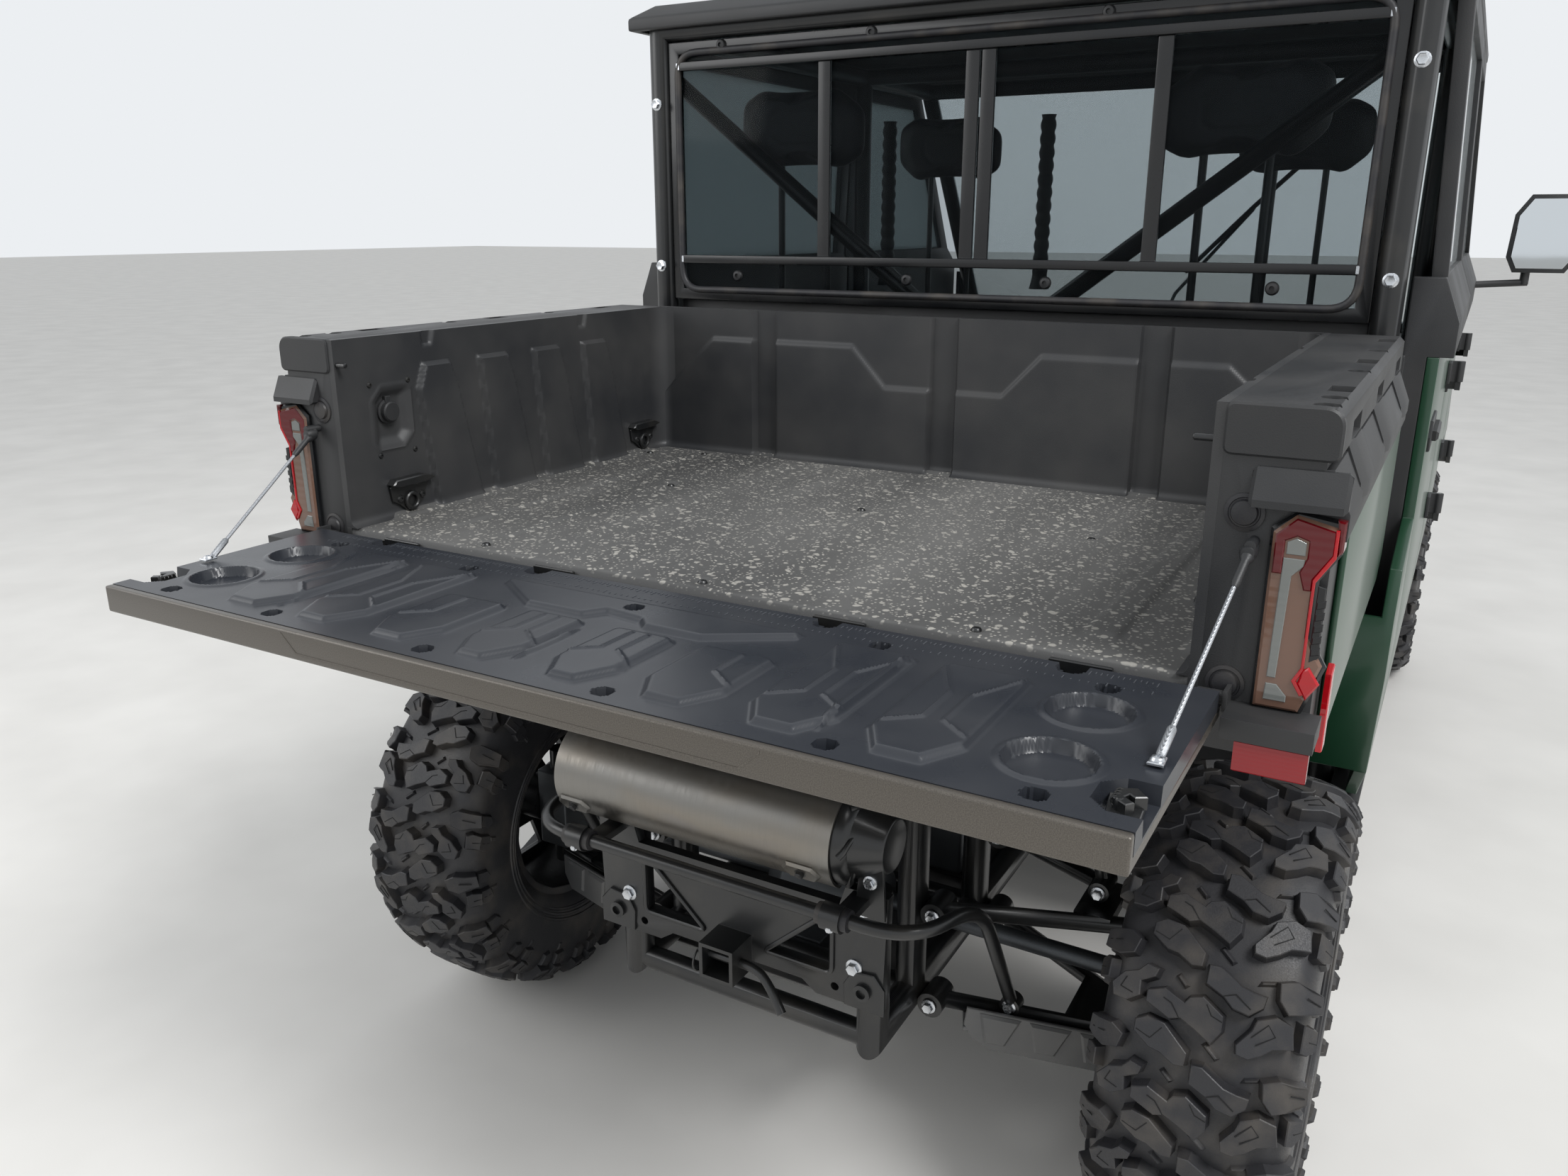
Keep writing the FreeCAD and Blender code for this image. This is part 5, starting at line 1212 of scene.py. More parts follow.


# Each rope runs straight from bed to gate and hangs from no body; its boot stays on the bed and its eye on
# the gate
def addStays():
    low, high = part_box("tailgate_cables")
    start = np.array((high.x - 0.0015, low.y + 0.0017, high.z - 0.0025))
    end = np.array((start[0] - 0.0269, high.y - 0.0016, low.z + 0.0031))
    way = (end - start) / np.linalg.norm(end - start)
    share = np.linspace(0, 1, stayValues["rings"])[:, None]
    crimp = facing(lathe([(0.0035, 0.0), (stayValues["crimp"], 0.003), (stayValues["crimp"], 0.033),
                          (0.0036, 0.038), (0.0005, 0.040)], 20), end - way * stayValues["crimpLength"], way)
    for side, flip in (("left", 1), ("right", -1)):
        turn = np.array([flip, 1, 1])
        path = (start + (end - start) * share) * turn
        sleeve = crimp if flip > 0 else mirrored(crimp)
        rope = makePiece("stayRope_" + side, [tube(path, stayValues["rope"], 12, (1, 0, 0)), sleeve], "rope",
                         None, sharp=60.0, replaces=("tailgate_cables",))
        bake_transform(rope)
    length, radius = stayValues["bootLength"], stayValues["boot"]
    boot = facing(lathe([(0.0075, -0.012), (0.009, -0.004), (0.0078, 0.006), (radius, 0.012),
                         (radius, length - 0.006), (radius - 0.0015, length), (0.0005, length)], 20),
                  start, way)
    ball = rearward(lathe([(0.0005, -0.004), (0.009, -0.004), (0.0095, 0.006), (0.007, 0.012),
                           (0.0005, 0.013)], 20), start + np.array([0, -0.004, 0.002]))
    makePiece("stayBoots", [bothSides(boot), bothSides(ball)], "trim", "bed")
    plate = pad([(-0.007, -0.008), (0.007, -0.008), (0.008, 0.012), (-0.008, 0.012)], -0.0015, 0.0015, 0.001)
    eye = placed(plate, end + np.array([0, 0.002, 0.001]), (1, 0, 0), (0, 1, 0))
    nut = facing(roundScrew(0.0062), end + np.array([0, 0.004, 0.002]), (0, 0, 1))
    makePiece("stayEyes", [bothSides(shape) for shape in (eye, nut)], "zinc", "tailgate")
    print("stays made")


addStays()


# Rear structure: bolts, sway bar clamps, hitch pin, heat shield pads, coil springs and guards

rearValues = {
    "bolts": [(0.2125, 0.4825), (-0.2175, 0.4825), (-0.2325, 0.590)], "boltSize": 0.0105,
    "clamps": [0.250, -0.222], "clampRadius": 0.0185, "pads": [0.283, -0.150], "padAngle": -30.0,
    "tabs": [(0.235, 0.447), (-0.235, 0.447)], "cutOut": [(0.056, 0.4585), (0.179, 0.4585), (0.179, 0.571)],
    "sway": [(0.400, 1.450, 0.342), (0.390, 1.602, 0.609), (0.345, 1.752, 0.617)], "swayRadius": 0.011,
    "springFoot": (0.505, 0.534), "rearHead": (0.435, 0.890), "frontHead": (0.435, 0.680), "turns": 7.5,
    # The damper's profile from foot to head: its radius, and its height as a share of the length
    "damper": [(0.010, 0.0), (0.011, 0.1), (0.024, 0.12), (0.024, 0.20), (0.044, 0.22), (0.044, 0.235),
               (0.024, 0.24), (0.0235, 0.55), (0.012, 0.57), (0.012, 0.82), (0.042, 0.83), (0.042, 0.86),
               (0.02, 0.9), (0.012, 1.0)],
    "coilRadius": 0.036, "wire": 0.0052, "springAxles": {"rear": 1.332, "front": -1.594},
    "guardReach": {"rear": 0.278, "front": 0.180}, "shieldCentre": (1.650, 0.696), "plateFace": 1.6736,
    "pivots": [(1.182, 0.33), (1.482, 0.33), (1.182, 0.50), (1.482, 0.50)], "pivotReach": 0.278,
    "guardRoot": (0.2783, 0.150, 0.330), "guardTip": (0.655, 0.0, 0.2775), "ribPitch": 0.082,
    "capPlace": -0.196, "capRibs": 6, "hitchInset": 0.049, "pinInset": 0.025,
    "cap": [(0.0765, 0.0), (0.0755, 0.012), (0.069, 0.022), (0.062, 0.026), (0.052, 0.032), (0.040, 0.036),
            (0.018, 0.040), (0.0005, 0.041)],
}
plateFace = rearValues["plateFace"]
swayLow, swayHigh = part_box("sway_bar")
swayCentre = (swayHigh.y - 0.011, swayHigh.z - 0.011)


# A strap bent round the sway bar over its rubber bush, with two feet on the saddle
def clampShape(x):
    y, z = swayCentre
    angles = np.radians(np.linspace(-100, 100, 24))
    outer, inner = rearValues["clampRadius"] + 0.003, rearValues["clampRadius"]
    line = [(y + outer * math.cos(a), z + outer * math.sin(a)) for a in angles]
    line += [(y + inner * math.cos(a), z + inner * math.sin(a)) for a in angles[::-1]]
    rings = [[(x + at, p, q) for p, q in line] for at in (-0.016, -0.0145, 0.0145, 0.016)]
    strap = loft(np.array(rings))
    bush = facing(lathe([(0.0115, -0.027), (0.0165, -0.026), (0.0175, -0.017), (0.0175, 0.017),
                         (0.0165, 0.026), (0.0115, 0.027)], 28), (x, y, z), (1, 0, 0))
    return strap, bush


# A spring's wire: a helix round the damper with closed, flattened end turns
def springShape(foot, head, y):
    low, high = np.array((foot[0], y, foot[1])), np.array((head[0], y, head[1]))
    way = (high - low) / np.linalg.norm(high - low)
    side = np.array((0, 1.0, 0))
    over = np.cross(way, side)
    turns = rearValues["turns"]
    a = np.linspace(0, turns * 2 * math.pi, int(turns * 26))
    share = np.interp(a, [0, 2 * math.pi, (turns - 1) * 2 * math.pi, turns * 2 * math.pi],
                      [0.24, 0.27, 0.79, 0.82])
    radius = rearValues["coilRadius"]
    circle = np.cos(a)[:, None] * side + np.sin(a)[:, None] * over
    path = low + share[:, None] * (high - low) + radius * circle
    return tube(path, rearValues["wire"], 10, tuple(way))


# A damper: a profile turned about the line from foot to head, with an eye at each end
def dampers(foot, head, y):
    low, high = np.array((foot[0], y, foot[1])), np.array((head[0], y, head[1]))
    size = np.linalg.norm(high - low)
    profile = [(radius, size * share) for radius, share in rearValues["damper"]]
    eye = lathe([(0.009, -0.030), (0.017, -0.028), (0.017, 0.028), (0.009, 0.030)], 24)
    return [facing(lathe(profile, 32), low, high - low), rearward(eye, low), rearward(eye, high)]


# On the crossmember: clamps with their bushes, a bracket, two tabs with collars and a bead round each cut-out
def addCrossmember():
    r = rearValues
    straps, bushes = [list(shapes) for shapes in zip(*[clampShape(x) for x in r["clamps"]])]
    bracket = pad([(0.222, -0.02), (0.272, -0.02), (0.268, 0.06), (0.262, 0.10), (0.236, 0.10),
                   (0.228, 0.06)], -0.0003, 0.006, 0.001)
    straps.append(onRear(bracket, (0, plateFace + 0.006, 0.605)))
    tab = np.array([(-0.036, -0.034), (0.032, -0.034), (0.034, 0.004), (0.02, 0.03), (-0.018, 0.034),
                    (-0.036, 0.012)])
    collar = lathe([(0.014, 0.0), (0.014, 0.007), (0.008, 0.0085), (0.0075, 0.002), (0.0005, 0.002)], 24)
    for x, z in r["tabs"]:
        outline = tab * np.array([1 if x > 0 else -1, 1])
        straps.append(onRear(pad(outline, -0.0003, 0.005, 0.0015), (x, plateFace, z)))
        straps.append(rearward(collar, (x, plateFace + 0.004, z)))
    for side in (-1, 1):
        triangle = [(side * x, plateFace + 0.001, z) for x, z in r["cutOut"]]
        straps.append(hoop(rounded(triangle, 0.012), 0.0042, (0, 1, 0)))
    makePiece("crossmemberFittings", straps, "steel", "chassis")
    makePiece("swayBushes", bushes, "rubber", "chassis")


# The sway bar: a round bar bent from one link's eye across to the other's
def addSwayBar():
    half = [np.array(point) for point in rearValues["sway"]]
    line = [point * np.array([-1, 1, 1]) for point in half] + half[::-1]
    bar = tube(roundedPath(line, 0.075, 10), rearValues["swayRadius"], 20)
    eye = rearward(lathe([(0.008, -0.014), (0.017, -0.013), (0.017, 0.013), (0.008, 0.014)], 24), half[0])
    makePiece("swayBar", [bar, bothSides(eye)], "steel", "chassis", sharp=40.0, replaces=("sway_bar",))


# The hitch pin: a round bar with a bent grip at one end and a wire ring through the other
def addHitchPin():
    pinY = bedRear - rearValues["hitchInset"] - rearValues["pinInset"]
    grip = [(0.046, pinY, 0.447), (-0.062, pinY, 0.447), (-0.088, pinY + 0.006, 0.430),
            (-0.120, pinY + 0.020, 0.396)]
    pin = tube(roundedPath(grip, 0.03, 8), 0.0075, 16, (0, 1, 0))
    angles = np.linspace(0, 2 * math.pi, 28)[:-1]
    circle = np.c_[np.full(27, 0.047), pinY + 0.020 * np.cos(angles), 0.429 + 0.020 * np.sin(angles)]
    makePiece("hitchPin", [pin, hoop(circle, 0.0018, (1, 0, 0), 8)], "steel", "chassis")


# Hexagonal pads raised from the heat shield, each with a stud; both stand along the shield's radius
def addShieldPads():
    centreY, centreZ = rearValues["shieldCentre"]
    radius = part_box("heat_shield")[1].y - centreY
    angle = math.radians(rearValues["padAngle"])
    out = np.array((0, math.cos(angle), math.sin(angle)))
    outline = [(-0.034, 0.0), (-0.022, -0.018), (0.022, -0.018), (0.034, 0.0), (0.022, 0.018),
               (-0.022, 0.018)]
    pads, studs = [], []
    for x in rearValues["pads"]:
        spot = np.array((x, centreY, centreZ)) + out * (radius - 0.0012)
        pads.append(placed(pad(outline, -0.001, 0.0055, 0.004), spot, (-1, 0, 0), np.cross(out, (-1, 0, 0))))
        studs.append(facing(flangeBolt(0.0075), spot + out * 0.004, out))
    makePiece("shieldPads", pads, "shield", "chassis")
    makePiece("shieldStuds", studs, "steel", "chassis")


# A coil spring round a damper at each end of both axles
def addSprings():
    coils, bodies = [], []
    for end, y in rearValues["springAxles"].items():
        foot, head = rearValues["springFoot"], rearValues[end + "Head"]
        coils.append(bothSides(springShape(foot, head, y)))
        bodies += [bothSides(shape) for shape in dampers(foot, head, y)]
    makePiece("coilSprings", coils, "spring", "chassis", sharp=50.0)
    makePiece("damperBodies", bodies, "steel", "chassis", replaces=("shock_absorbers",))


# Bolts that look rearward: on the crossmember, its clamps, the dampers' ends, the arms' pivots and the links
def addFlangeBolts():
    r = rearValues
    bolts = [rearward(flangeBolt(r["boltSize"]), (x, plateFace, z)) for x, z in r["bolts"]]
    bolts.append(rearward(flangeBolt(0.0085), (-0.2475, plateFace + 0.012, 0.646)))
    for x in r["clamps"]:
        bolts.append(rearward(flangeBolt(0.005), (x, swayHigh.y + 0.004, swayCentre[1] - 0.012)))
    for end, y in r["springAxles"].items():
        for x, z in (r["springFoot"], r[end + "Head"]):
            bolts.append(bothSides(rearward(flangeBolt(0.009), (x, y + 0.031, z))))
    for y, z in r["pivots"]:
        bolts.append(bothSides(rearward(flangeBolt(0.0095), (r["pivotReach"], y + 0.030, z))))
    bolts.append(bothSides(rearward(flangeBolt(0.009), (0.400, 1.4395 + 0.023, 0.342))))
    makePiece("flangeBolts", bolts, "zinc", "chassis")


# The silencer's domed end cap, with ribs that turn on as they run in to its middle
def addSilencerCap():
    centreY, centreZ = rearValues["shieldCentre"]
    line, place = rearValues["cap"], rearValues["capPlace"]
    cap = [facing(lathe(line, 48), (place, centreY, centreZ), (-1, 0, 0))]
    reach = np.linspace(0.073, 0.024, 24)
    level = np.interp(reach, [p[0] for p in line[::-1]], [p[1] for p in line[::-1]])
    for k in range(rearValues["capRibs"]):
        turn = k * 2 * math.pi / rearValues["capRibs"] + (0.073 - reach) * 28
        path = np.c_[place - level, centreY + reach * np.cos(turn), centreZ + reach * np.sin(turn)]
        cap.append(tube(path, np.linspace(0.0055, 0.0025, 24), 10, (1, 0, 0)))
    makePiece("silencerCap", cap, "steel", "chassis")


# Guards on the lower arms: a flat plate along each arm with raised ribs
def addArmGuards():
    guards = []
    for row, y in rearValues["springAxles"].items():
        root, tip = (np.array(rearValues[key]) + np.array((0, y, 0)) for key in ("guardRoot", "guardTip"))
        way = (tip - root) / np.linalg.norm(tip - root)
        out = np.cross((0, 0, 1.0), way)
        out /= np.linalg.norm(out)
        up = np.cross(way, -out)
        origin = root + (tip - root) * 0.12 + out * 0.041
        end = rearValues["guardReach"][row]
        plate = [(0.0, -0.022), (end, -0.022), (end + 0.006, 0.02), (end - 0.016, 0.050), (0.05, 0.050),
                 (0.02, 0.036), (0.0, 0.01)]
        guards.append(placed(pad(plate, -0.001, 0.0045, 0.0015), origin, way, up))
        for first in np.arange(0.022, end - 0.07, rearValues["ribPitch"]):
            rib = [(first, -0.018), (first + 0.016, 0.036), (first + 0.050, 0.036), (first + 0.068, -0.018)]
            guards.append(placed(pad(rib, 0.004, 0.0095, 0.004), origin, way, up))
    makePiece("armGuards", [bothSides(shape) for shape in guards], "grey", "chassis")


addCrossmember()
addSwayBar()
addHitchPin()
addShieldPads()
addSprings()
addFlangeBolts()
addSilencerCap()
addArmGuards()
print("rear details made")


# Rear window: screws, wiper, grab handles and the seals

windowValues = {"topScrews": [0.60, 0.24, -0.24, -0.60], "lowScrews": [0.568, 0.150, -0.150, -0.573],
                "tubeBolts": [1.834, 1.485], "handles": [(0.19, -0.262), (-0.665, -0.262), (0.665, -0.262)],
                "wiperArm": [(0.05, -1.262, 1.285), (0.02, -1.225, 1.345), (-0.24, -1.02, 1.62)],
                "wiperBlade": [(-0.02, -1.17, 1.42), (-0.24, -1.015, 1.625), (-0.44, -0.885, 1.80)]}


# A grab handle: a tube whose centre line waves like the finger grips of a moulded one
def handleShape(x, y):
    z = np.linspace(1.40, 1.86, 90)
    path = np.c_[np.full(90, x), np.full(90, y), z]
    thick = 0.017 + 0.0045 * np.abs(np.sin(z * 90))
    thick[:8] = np.linspace(0.028, thick[8], 8)
    return tube(path, thick, 14, (0, 1, 0))


# Fittings round the window, then the wiper on the windscreen
def addRearWindow():
    v = windowValues
    frameLow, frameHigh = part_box("rear_window_frame")
    face = frameHigh.y - 0.006
    screws = [rearward(roundScrew(0.0105), (x, face, frameHigh.z - 0.012)) for x in v["topScrews"]]
    screws += [rearward(roundScrew(0.0105), (x, 0.7352, frameLow.z + 0.055)) for x in v["lowScrews"]]
    makePiece("windowScrews", screws, "trim", "chassis")
    bolts = [bothSides(rearward(flangeBolt(0.010), (0.765, 0.755, z))) for z in v["tubeBolts"]]
    makePiece("cageBolts", bolts, "zinc", "chassis")
    low, high, reach = frameLow.z + 0.022, frameHigh.z - 0.022, frameHigh.x - 0.024
    corners = [(-reach, face, low), (reach, face, low), (reach, face, high), (-reach, face, high)]
    makePiece("windowSeal", [hoop(rounded(corners, 0.05, 8), 0.0075, (0, 1, 0), 12)], "rubber", "chassis")
    ends = [bothSides(box((0.708, 0.736, z - 0.008), (0.7155, 0.7478, z + 0.008))) for z in (1.501, 1.910)]
    makePiece("trackEnds", ends, "zinc", "chassis")
    makePiece("grabHandles", [handleShape(x, y) for x, y in v["handles"]], "trim", "chassis", sharp=50.0)
    wiper = [tube(v[key], radius, 8) for key, radius in (("wiperArm", 0.006), ("wiperBlade", 0.0075))]
    makePiece("screenWiper", wiper, "trim", "chassis")
    print("rear window made")


addRearWindow()


# Seats: blocks swollen into cushions by simulation, then the sewn channels sunk into their faces

seatValues = {"voxel": 0.006, "pressure": 4.0, "cap": 0.014, "steps": 20, "across": 0.465,
              "cushionSize": (0.655, 0.42, 0.105), "cushionLevel": 0.770,
              "backSize": (0.655, 0.078, 0.545), "backLean": 0.10, "backLevel": 1.115, "headLevel": 1.782,
              # The sewn channels of a cushion, a back and a headrest as broken lines on their faces
              "cushionLines": [[(-0.20, -0.17), (-0.20, 0.17)], [(0.20, -0.17), (0.20, 0.17)],
                               [(-0.20, 0.05), (0.20, 0.05)], [(-0.20, -0.06), (0.20, -0.06)]],
              "backLines": [[(-0.20, -0.23), (-0.20, 0.23)], [(0.20, -0.23), (0.20, 0.23)],
                            [(-0.20, 0.10), (0.20, 0.10)], [(-0.20, -0.04), (0.20, -0.04)]],
              "headLine": [(-0.08, -0.05), (-0.08, 0.05), (0.08, 0.05), (0.08, -0.05)],
              "head": [(-0.160, -0.058), (-0.108, -0.092), (0.108, -0.092), (0.162, -0.038), (0.162, 0.055),
                       (0.112, 0.090), (-0.092, 0.090), (-0.160, 0.034)], "headCorner": 0.022}


# A soft block: a superellipse-like box whose sides bulge and whose corners round off, as a closed grid
def softBlock(size, exponent, lean, rings=30, sides=64):
    v = np.linspace(-math.pi / 2, math.pi / 2, rings)[1:-1]
    u = np.arange(sides) * 2 * math.pi / sides

    def power(value):
        return np.sign(value) * np.abs(value) ** exponent

    cu, su, cv, sv = power(np.cos(u)), power(np.sin(u)), power(np.cos(v)), power(np.sin(v))
    x = size[0] / 2 * cv[:, None] * cu[None]
    y = size[1] / 2 * cv[:, None] * su[None]
    z = size[2] / 2 * sv[:, None] * np.ones(sides)[None]
    y = y + lean * z
    return loft(np.stack([x, y, z], -1))


# Swells a closed mesh like an inflated pad, and caps how far a point may move
def swell(piece):
    remesh = piece.modifiers.new("even", "REMESH")
    remesh.mode = "VOXEL"
    remesh.voxel_size = seatValues["voxel"]
    applyModifiers(piece)
    before = np.empty(len(piece.data.vertices) * 3)
    piece.data.vertices.foreach_get("co", before)
    cloth = piece.modifiers.new("pad", "CLOTH")
    cloth.settings.use_pressure = True
    cloth.settings.uniform_pressure_force = seatValues["pressure"]
    cloth.settings.effector_weights.gravity = 0
    cloth.point_cache.frame_start, cloth.point_cache.frame_end = 1, seatValues["steps"]
    for step in range(1, seatValues["steps"] + 1):
        scene.frame_set(step)
    applyModifiers(piece)
    after = np.empty(len(piece.data.vertices) * 3)
    piece.data.vertices.foreach_get("co", after)
    move = (after - before).reshape(-1, 3)
    size = np.linalg.norm(move, axis=1)[:, None]
    move *= np.minimum(1, seatValues["cap"] / np.maximum(size, 1e-9))
    piece.data.vertices.foreach_set("co", (before.reshape(-1, 3) + move).ravel())
    piece.data.update()
    scene.frame_set(1)


# Puts in place of a piece's mesh the one that its modifiers give
def applyModifiers(piece):
    graph = bpy.context.evaluated_depsgraph_get()
    fresh = bpy.data.meshes.new_from_object(piece.evaluated_get(graph))
    piece.modifiers.clear()
    old = piece.data
    piece.data = fresh
    bpy.data.meshes.remove(old)


# Sinks the sewn channels of a cushion's front face: smooth valleys along given lines in (across, along)
def sew(points, lines, face, depth=0.007, width=0.012):
    across, along, out = face
    u, v, w = points[:, across], points[:, along], points[:, out]
    front = np.clip((w - w.min()) / (w.max() - w.min()) * 2 - 1, 0, 1)
    sink = np.zeros(len(points))
    for line in lines:
        sink = np.maximum(sink, depth * ridge(lineDistance(u, v, line), width))
    points[:, out] -= sink * front
    return points


# A soft shape as (points, [face arrays]): swollen and sewn on one face
def softMesh(name, form, lines, face, turnFace=1):
    piece = makePiece(name, [form], "vinyl", None, sharp=80.0)
    swell(piece)
    points = np.empty(len(piece.data.vertices) * 3)
    piece.data.vertices.foreach_get("co", points)
    points = points.reshape(-1, 3)
    points[:, face[2]] *= turnFace
    points = sew(points, lines, face)
    points[:, face[2]] *= turnFace
    faces = np.empty(len(piece.data.polygons), int)
    piece.data.polygons.foreach_get("loop_total", faces)
    loops = np.empty(len(piece.data.loops), int)
    piece.data.loops.foreach_get("vertex_index", loops)
    starts = np.concatenate([[0], np.cumsum(faces)[:-1]])
    groups = [np.array([loops[s:s + n] for s, n in zip(starts[faces == n], faces[faces == n])])
              for n in np.unique(faces)]
    bpy.data.objects.remove(piece)
    return points, groups


# Four seats from one cushion, one back and one headrest
def addSeats():
    s = seatValues
    cushion = softMesh("cushionForm", softBlock(s["cushionSize"], 0.34, 0.0), s["cushionLines"], (0, 1, 2))
    rest = softMesh("backForm", softBlock(s["backSize"], 0.34, s["backLean"]), s["backLines"], (0, 2, 1), -1)
    headForm = onRear(pad(rounded(s["head"], s["headCorner"], 5), -0.017, 0.017, 0.012, True), (0, 0, 0))
    head = softMesh("headForm", headForm, [s["headLine"]], (0, 2, 1), -1)
    shell = np.array(s["head"]) * np.array([-0.42, 0.42])
    head = (sew(head[0], [list(map(tuple, shell)) + [tuple(shell[0])]], (0, 2, 1), 0.004, 0.007), head[1])
    for row in ("rear", "front"):
        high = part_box(row + "_seats")[1]
        backY = high.y - 0.062
        for side, flip in (("left", 1), ("right", -1)):
            x = flip * (high.x + 0.015) / 2
            cushionPlace = (x, backY - 0.285, s["cushionLevel"])
            backPlace = (x, backY + 0.012, s["backLevel"])
            headPlace = (flip * (s["across"] + 0.004), backY + 0.030, s["headLevel"])
            flat = (("seatCushion_", cushion, cushionPlace, 0.8, (row + "_seats",)),
                    ("seatBack_", rest, backPlace, 0.7, ()),
                    ("headrest_", head if flip < 0 else mirrored(head), headPlace, 0.8, ()))
            for name, shape, place, fill, nodes in flat:
                piece = makePiece(name + row + "_" + side, [shifted(shape, place)], "vinyl", "chassis",
                                  sharp=80.0, replaces=nodes)
            posts = []
            for a in (-0.06, 0.06):
                foot = np.array((flip * s["across"] + a, backY + 0.028, 1.36))
                posts.append(tube([foot, foot + np.array((0, 0, 0.38))], 0.008, 12, (0, 1, 0)))
            makePiece("headrestPosts_" + row + "_" + side, posts, "steel", "chassis")
    print("seats made")


addSeats()


# Doors and mirrors: mirror glass and outer handles

doorValues = {"mirror": [(0.087, 0.086), (0.217, 0.086), (0.238, 0.118), (0.238, 0.268), (0.212, 0.303),
                         (0.107, 0.303), (0.072, 0.248), (0.066, 0.128)],
              "mirrorCorner": (0.878, 1.352), "mirrorFace": -1.0828,
              "handles": {"front": -0.40, "rear": 0.53}, "handleFace": 0.8555, "handleLevel": 1.20,
              "cup": [(-0.075, -0.028), (0.075, -0.028), (0.085, 0.0), (0.075, 0.03), (-0.075, 0.03),
                      (-0.085, 0.0)],
              "lever": [(-0.062, -0.010), (0.060, -0.013), (0.066, 0.006), (-0.062, 0.010)]}


# A mirror glass on each front door, and a cup with its lever on every door
def addDoorDetails():
    d = doorValues
    outline = np.array(d["mirror"]) + np.array(d["mirrorCorner"])
    sheet = pad(inset(outline * np.array([-1, 1]), 0.012), 0.0, 0.002, 0.0008)
    glass = onRear(sheet, (0, d["mirrorFace"], 0))
    for side in ("left", "right"):
        turn = mirrored if side == "right" else (lambda form: form)
        makePiece("mirrorGlass_" + side, [turn(glass)], "mirror", "door_front_" + side)
        for row, y in d["handles"].items():
            cup = onSide(pad(d["cup"], -0.002, 0.006, 0.002), (d["handleFace"], y, d["handleLevel"]))
            lever = onSide(pad(d["lever"], 0.004, 0.017, 0.004),
                           (d["handleFace"], y, d["handleLevel"] + 0.004))
            makePiece("doorHandle_" + row + "_" + side, [turn(cup), turn(lever)], "trim",
                      "door_" + row + "_" + side)
    print("door details made")


addDoorDetails()


# The rest of the CAD nodes, eased and finished

eased = {
    ("trim", 0.006): "rail_caps",
    ("green", 0.003): "bed_side_panels body_panels door_skin_front_left door_skin_front_right "
                      "door_skin_rear_left door_skin_rear_right",
    ("green", 0.004): "hood",
    ("trim", 0.004): "door_frame_front_left door_frame_front_right door_frame_rear_left "
                     "door_frame_rear_right cab_trim cab_tub front_fascia",
    ("trim", 0.008): "roof dashboard",
    ("bezel", 0.002): "rear_window_frame",
    ("clear", 0.003): "headlights",
    ("steel", 0.0): "main_frame roll_cage suspension_links tie_rods",
    ("steel", 0.002): "rear_crossmember bed_frame",
    ("grey", 0.002): "underbody_guards",
    ("shield", 0.0): "heat_shield",
    ("steel", 0.003): "muffler",
    ("engine", 0.003): "axle_drives",
    ("engine", 0.01): "engine_block",
    ("engine", 0.004): "knuckle_left knuckle_right rear_knuckles",
    ("trim", 0.002): "steering_wheel",
}


# Eased copies; door glass keeps its mesh, and the cab's front panes are clear
def addEased():
    for (material, ease), nodes in eased.items():
        for node in nodes.split():
            dress(node, material, ease)
    for node, body in frame["nodes"].items():
        if node.startswith("door_glass"):
            body.data.materials.clear()
            body.data.materials.append(finish["glassClear"])
    glass = dress("cab_glass", "glassTint", 0.0)
    glass.data.materials.append(finish["glassClear"])
    centres = np.empty(len(glass.data.polygons) * 3)
    glass.data.polygons.foreach_get("center", centres)
    ahead = (centres[1::3] < 0).astype(np.int32)
    glass.data.polygons.foreach_set("material_index", ahead)
    print("other nodes eased")


addEased()


# Floor, light and camera

stageValues = {"floor": "#e4e2de", "backdrop": "#eceff2", "keyPower": 420.0, "fillPower": 120.0,
               "ambient": 0.75}


# A pale floor
def addStage():
    size = 60.0
    mesh = bpy.data.meshes.new("studioFloor")
    mesh.from_pydata([(-size, -size, 0), (size, -size, 0), (size, size, 0), (-size, size, 0)], [],
                     [(0, 1, 2, 3)])
    material, tree, shader = newMaterial("studioFloorPaint", stageValues["floor"], Roughness=0.8)
    fine = noiseOf(tree, 400, 3.0)
    tree.links.new(rampOf(tree, fine.outputs["Fac"], 0.3, 0.7, toLinear("#dfddd9"), toLinear("#e8e6e2")),
                   shader.inputs["Base Color"])
    mesh.materials.append(material)
    floor = bpy.data.objects.new("studioFloor", mesh)
    scene.collection.objects.link(floor)


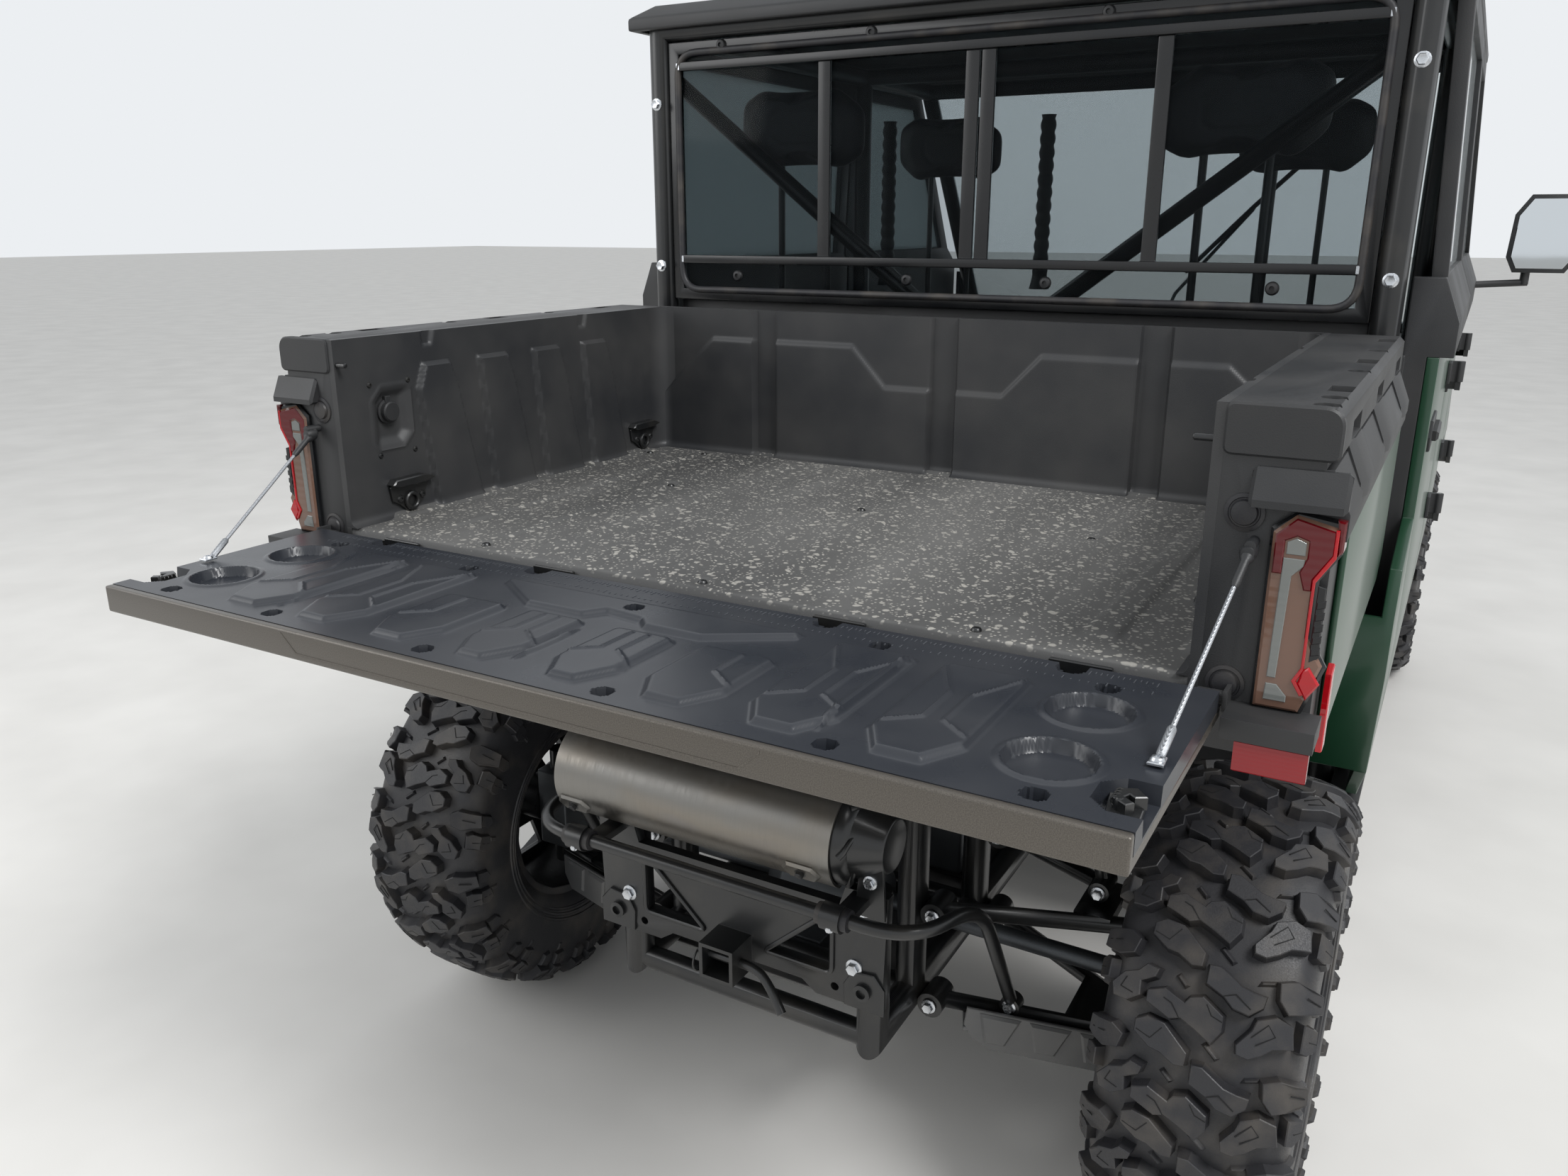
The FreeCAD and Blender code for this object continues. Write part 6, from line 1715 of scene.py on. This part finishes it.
# A key and a fill light; the backdrop lights less than it shows
def addLights():
    world = bpy.data.worlds.new("studioWorld")
    scene.world = world
    world.use_nodes = True
    tree = world.node_tree
    back = tree.nodes["Background"]
    back.inputs["Color"].default_value = toLinear(stageValues["backdrop"])
    path = addNode(tree, "ShaderNodeLightPath")
    seen = addNode(tree, "ShaderNodeMath", {"operation": "MAXIMUM"},
                   {0: path.outputs["Is Camera Ray"], 1: path.outputs["Is Glossy Ray"]})
    seen = addNode(tree, "ShaderNodeMath", {"operation": "MAXIMUM"},
                   {0: seen.outputs[0], 1: path.outputs["Is Transmission Ray"]})
    level = addNode(tree, "ShaderNodeMapRange", {"To Min": stageValues["ambient"], "To Max": 1.0},
                    {"Value": seen.outputs[0]})
    tree.links.new(level.outputs["Result"], back.inputs["Strength"])
    for name, place, power, size in (("keyLight", (-4.5, 3.0, 6.5), stageValues["keyPower"], 2.5),
                                     ("fillLight", (5.0, 5.0, 4.0), stageValues["fillPower"], 4.0)):
        lamp = bpy.data.lights.new(name, "AREA")
        lamp.energy = power
        lamp.size = size
        holder = bpy.data.objects.new(name, lamp)
        holder.location = place
        holder.rotation_euler = (Vector((0, 0.6, 0.8)) - Vector(place)).to_track_quat("-Z", "Y").to_euler()
        scene.collection.objects.link(holder)


cameraValues = {"place": (-0.911, 3.090, 1.583), "yaw": 30.0, "pitch": 17.2, "roll": -0.07, "lens": 27.18}


# The photo's viewpoint: an angle to the right, a tilt down and a slight roll
def addCamera():
    camera = bpy.data.cameras.new("photoCamera")
    camera.sensor_width = 36.0
    camera.lens = cameraValues["lens"]
    camera.clip_start = 0.01
    holder = bpy.data.objects.new("photoCamera", camera)
    yaw, pitch, roll = (math.radians(cameraValues[key]) for key in ("yaw", "pitch", "roll"))
    ahead = Vector((math.sin(yaw) * math.cos(pitch), -math.cos(yaw) * math.cos(pitch), -math.sin(pitch)))
    turn = ahead.to_track_quat("-Z", "Y").to_matrix().to_4x4() @ Matrix.Rotation(roll, 4, "Z")
    holder.matrix_world = Matrix.Translation(cameraValues["place"]) @ turn
    scene.collection.objects.link(holder)
    scene.camera = holder


addStage()
addLights()
addCamera()
scene.view_settings.view_transform = "Standard"
print("stage made")
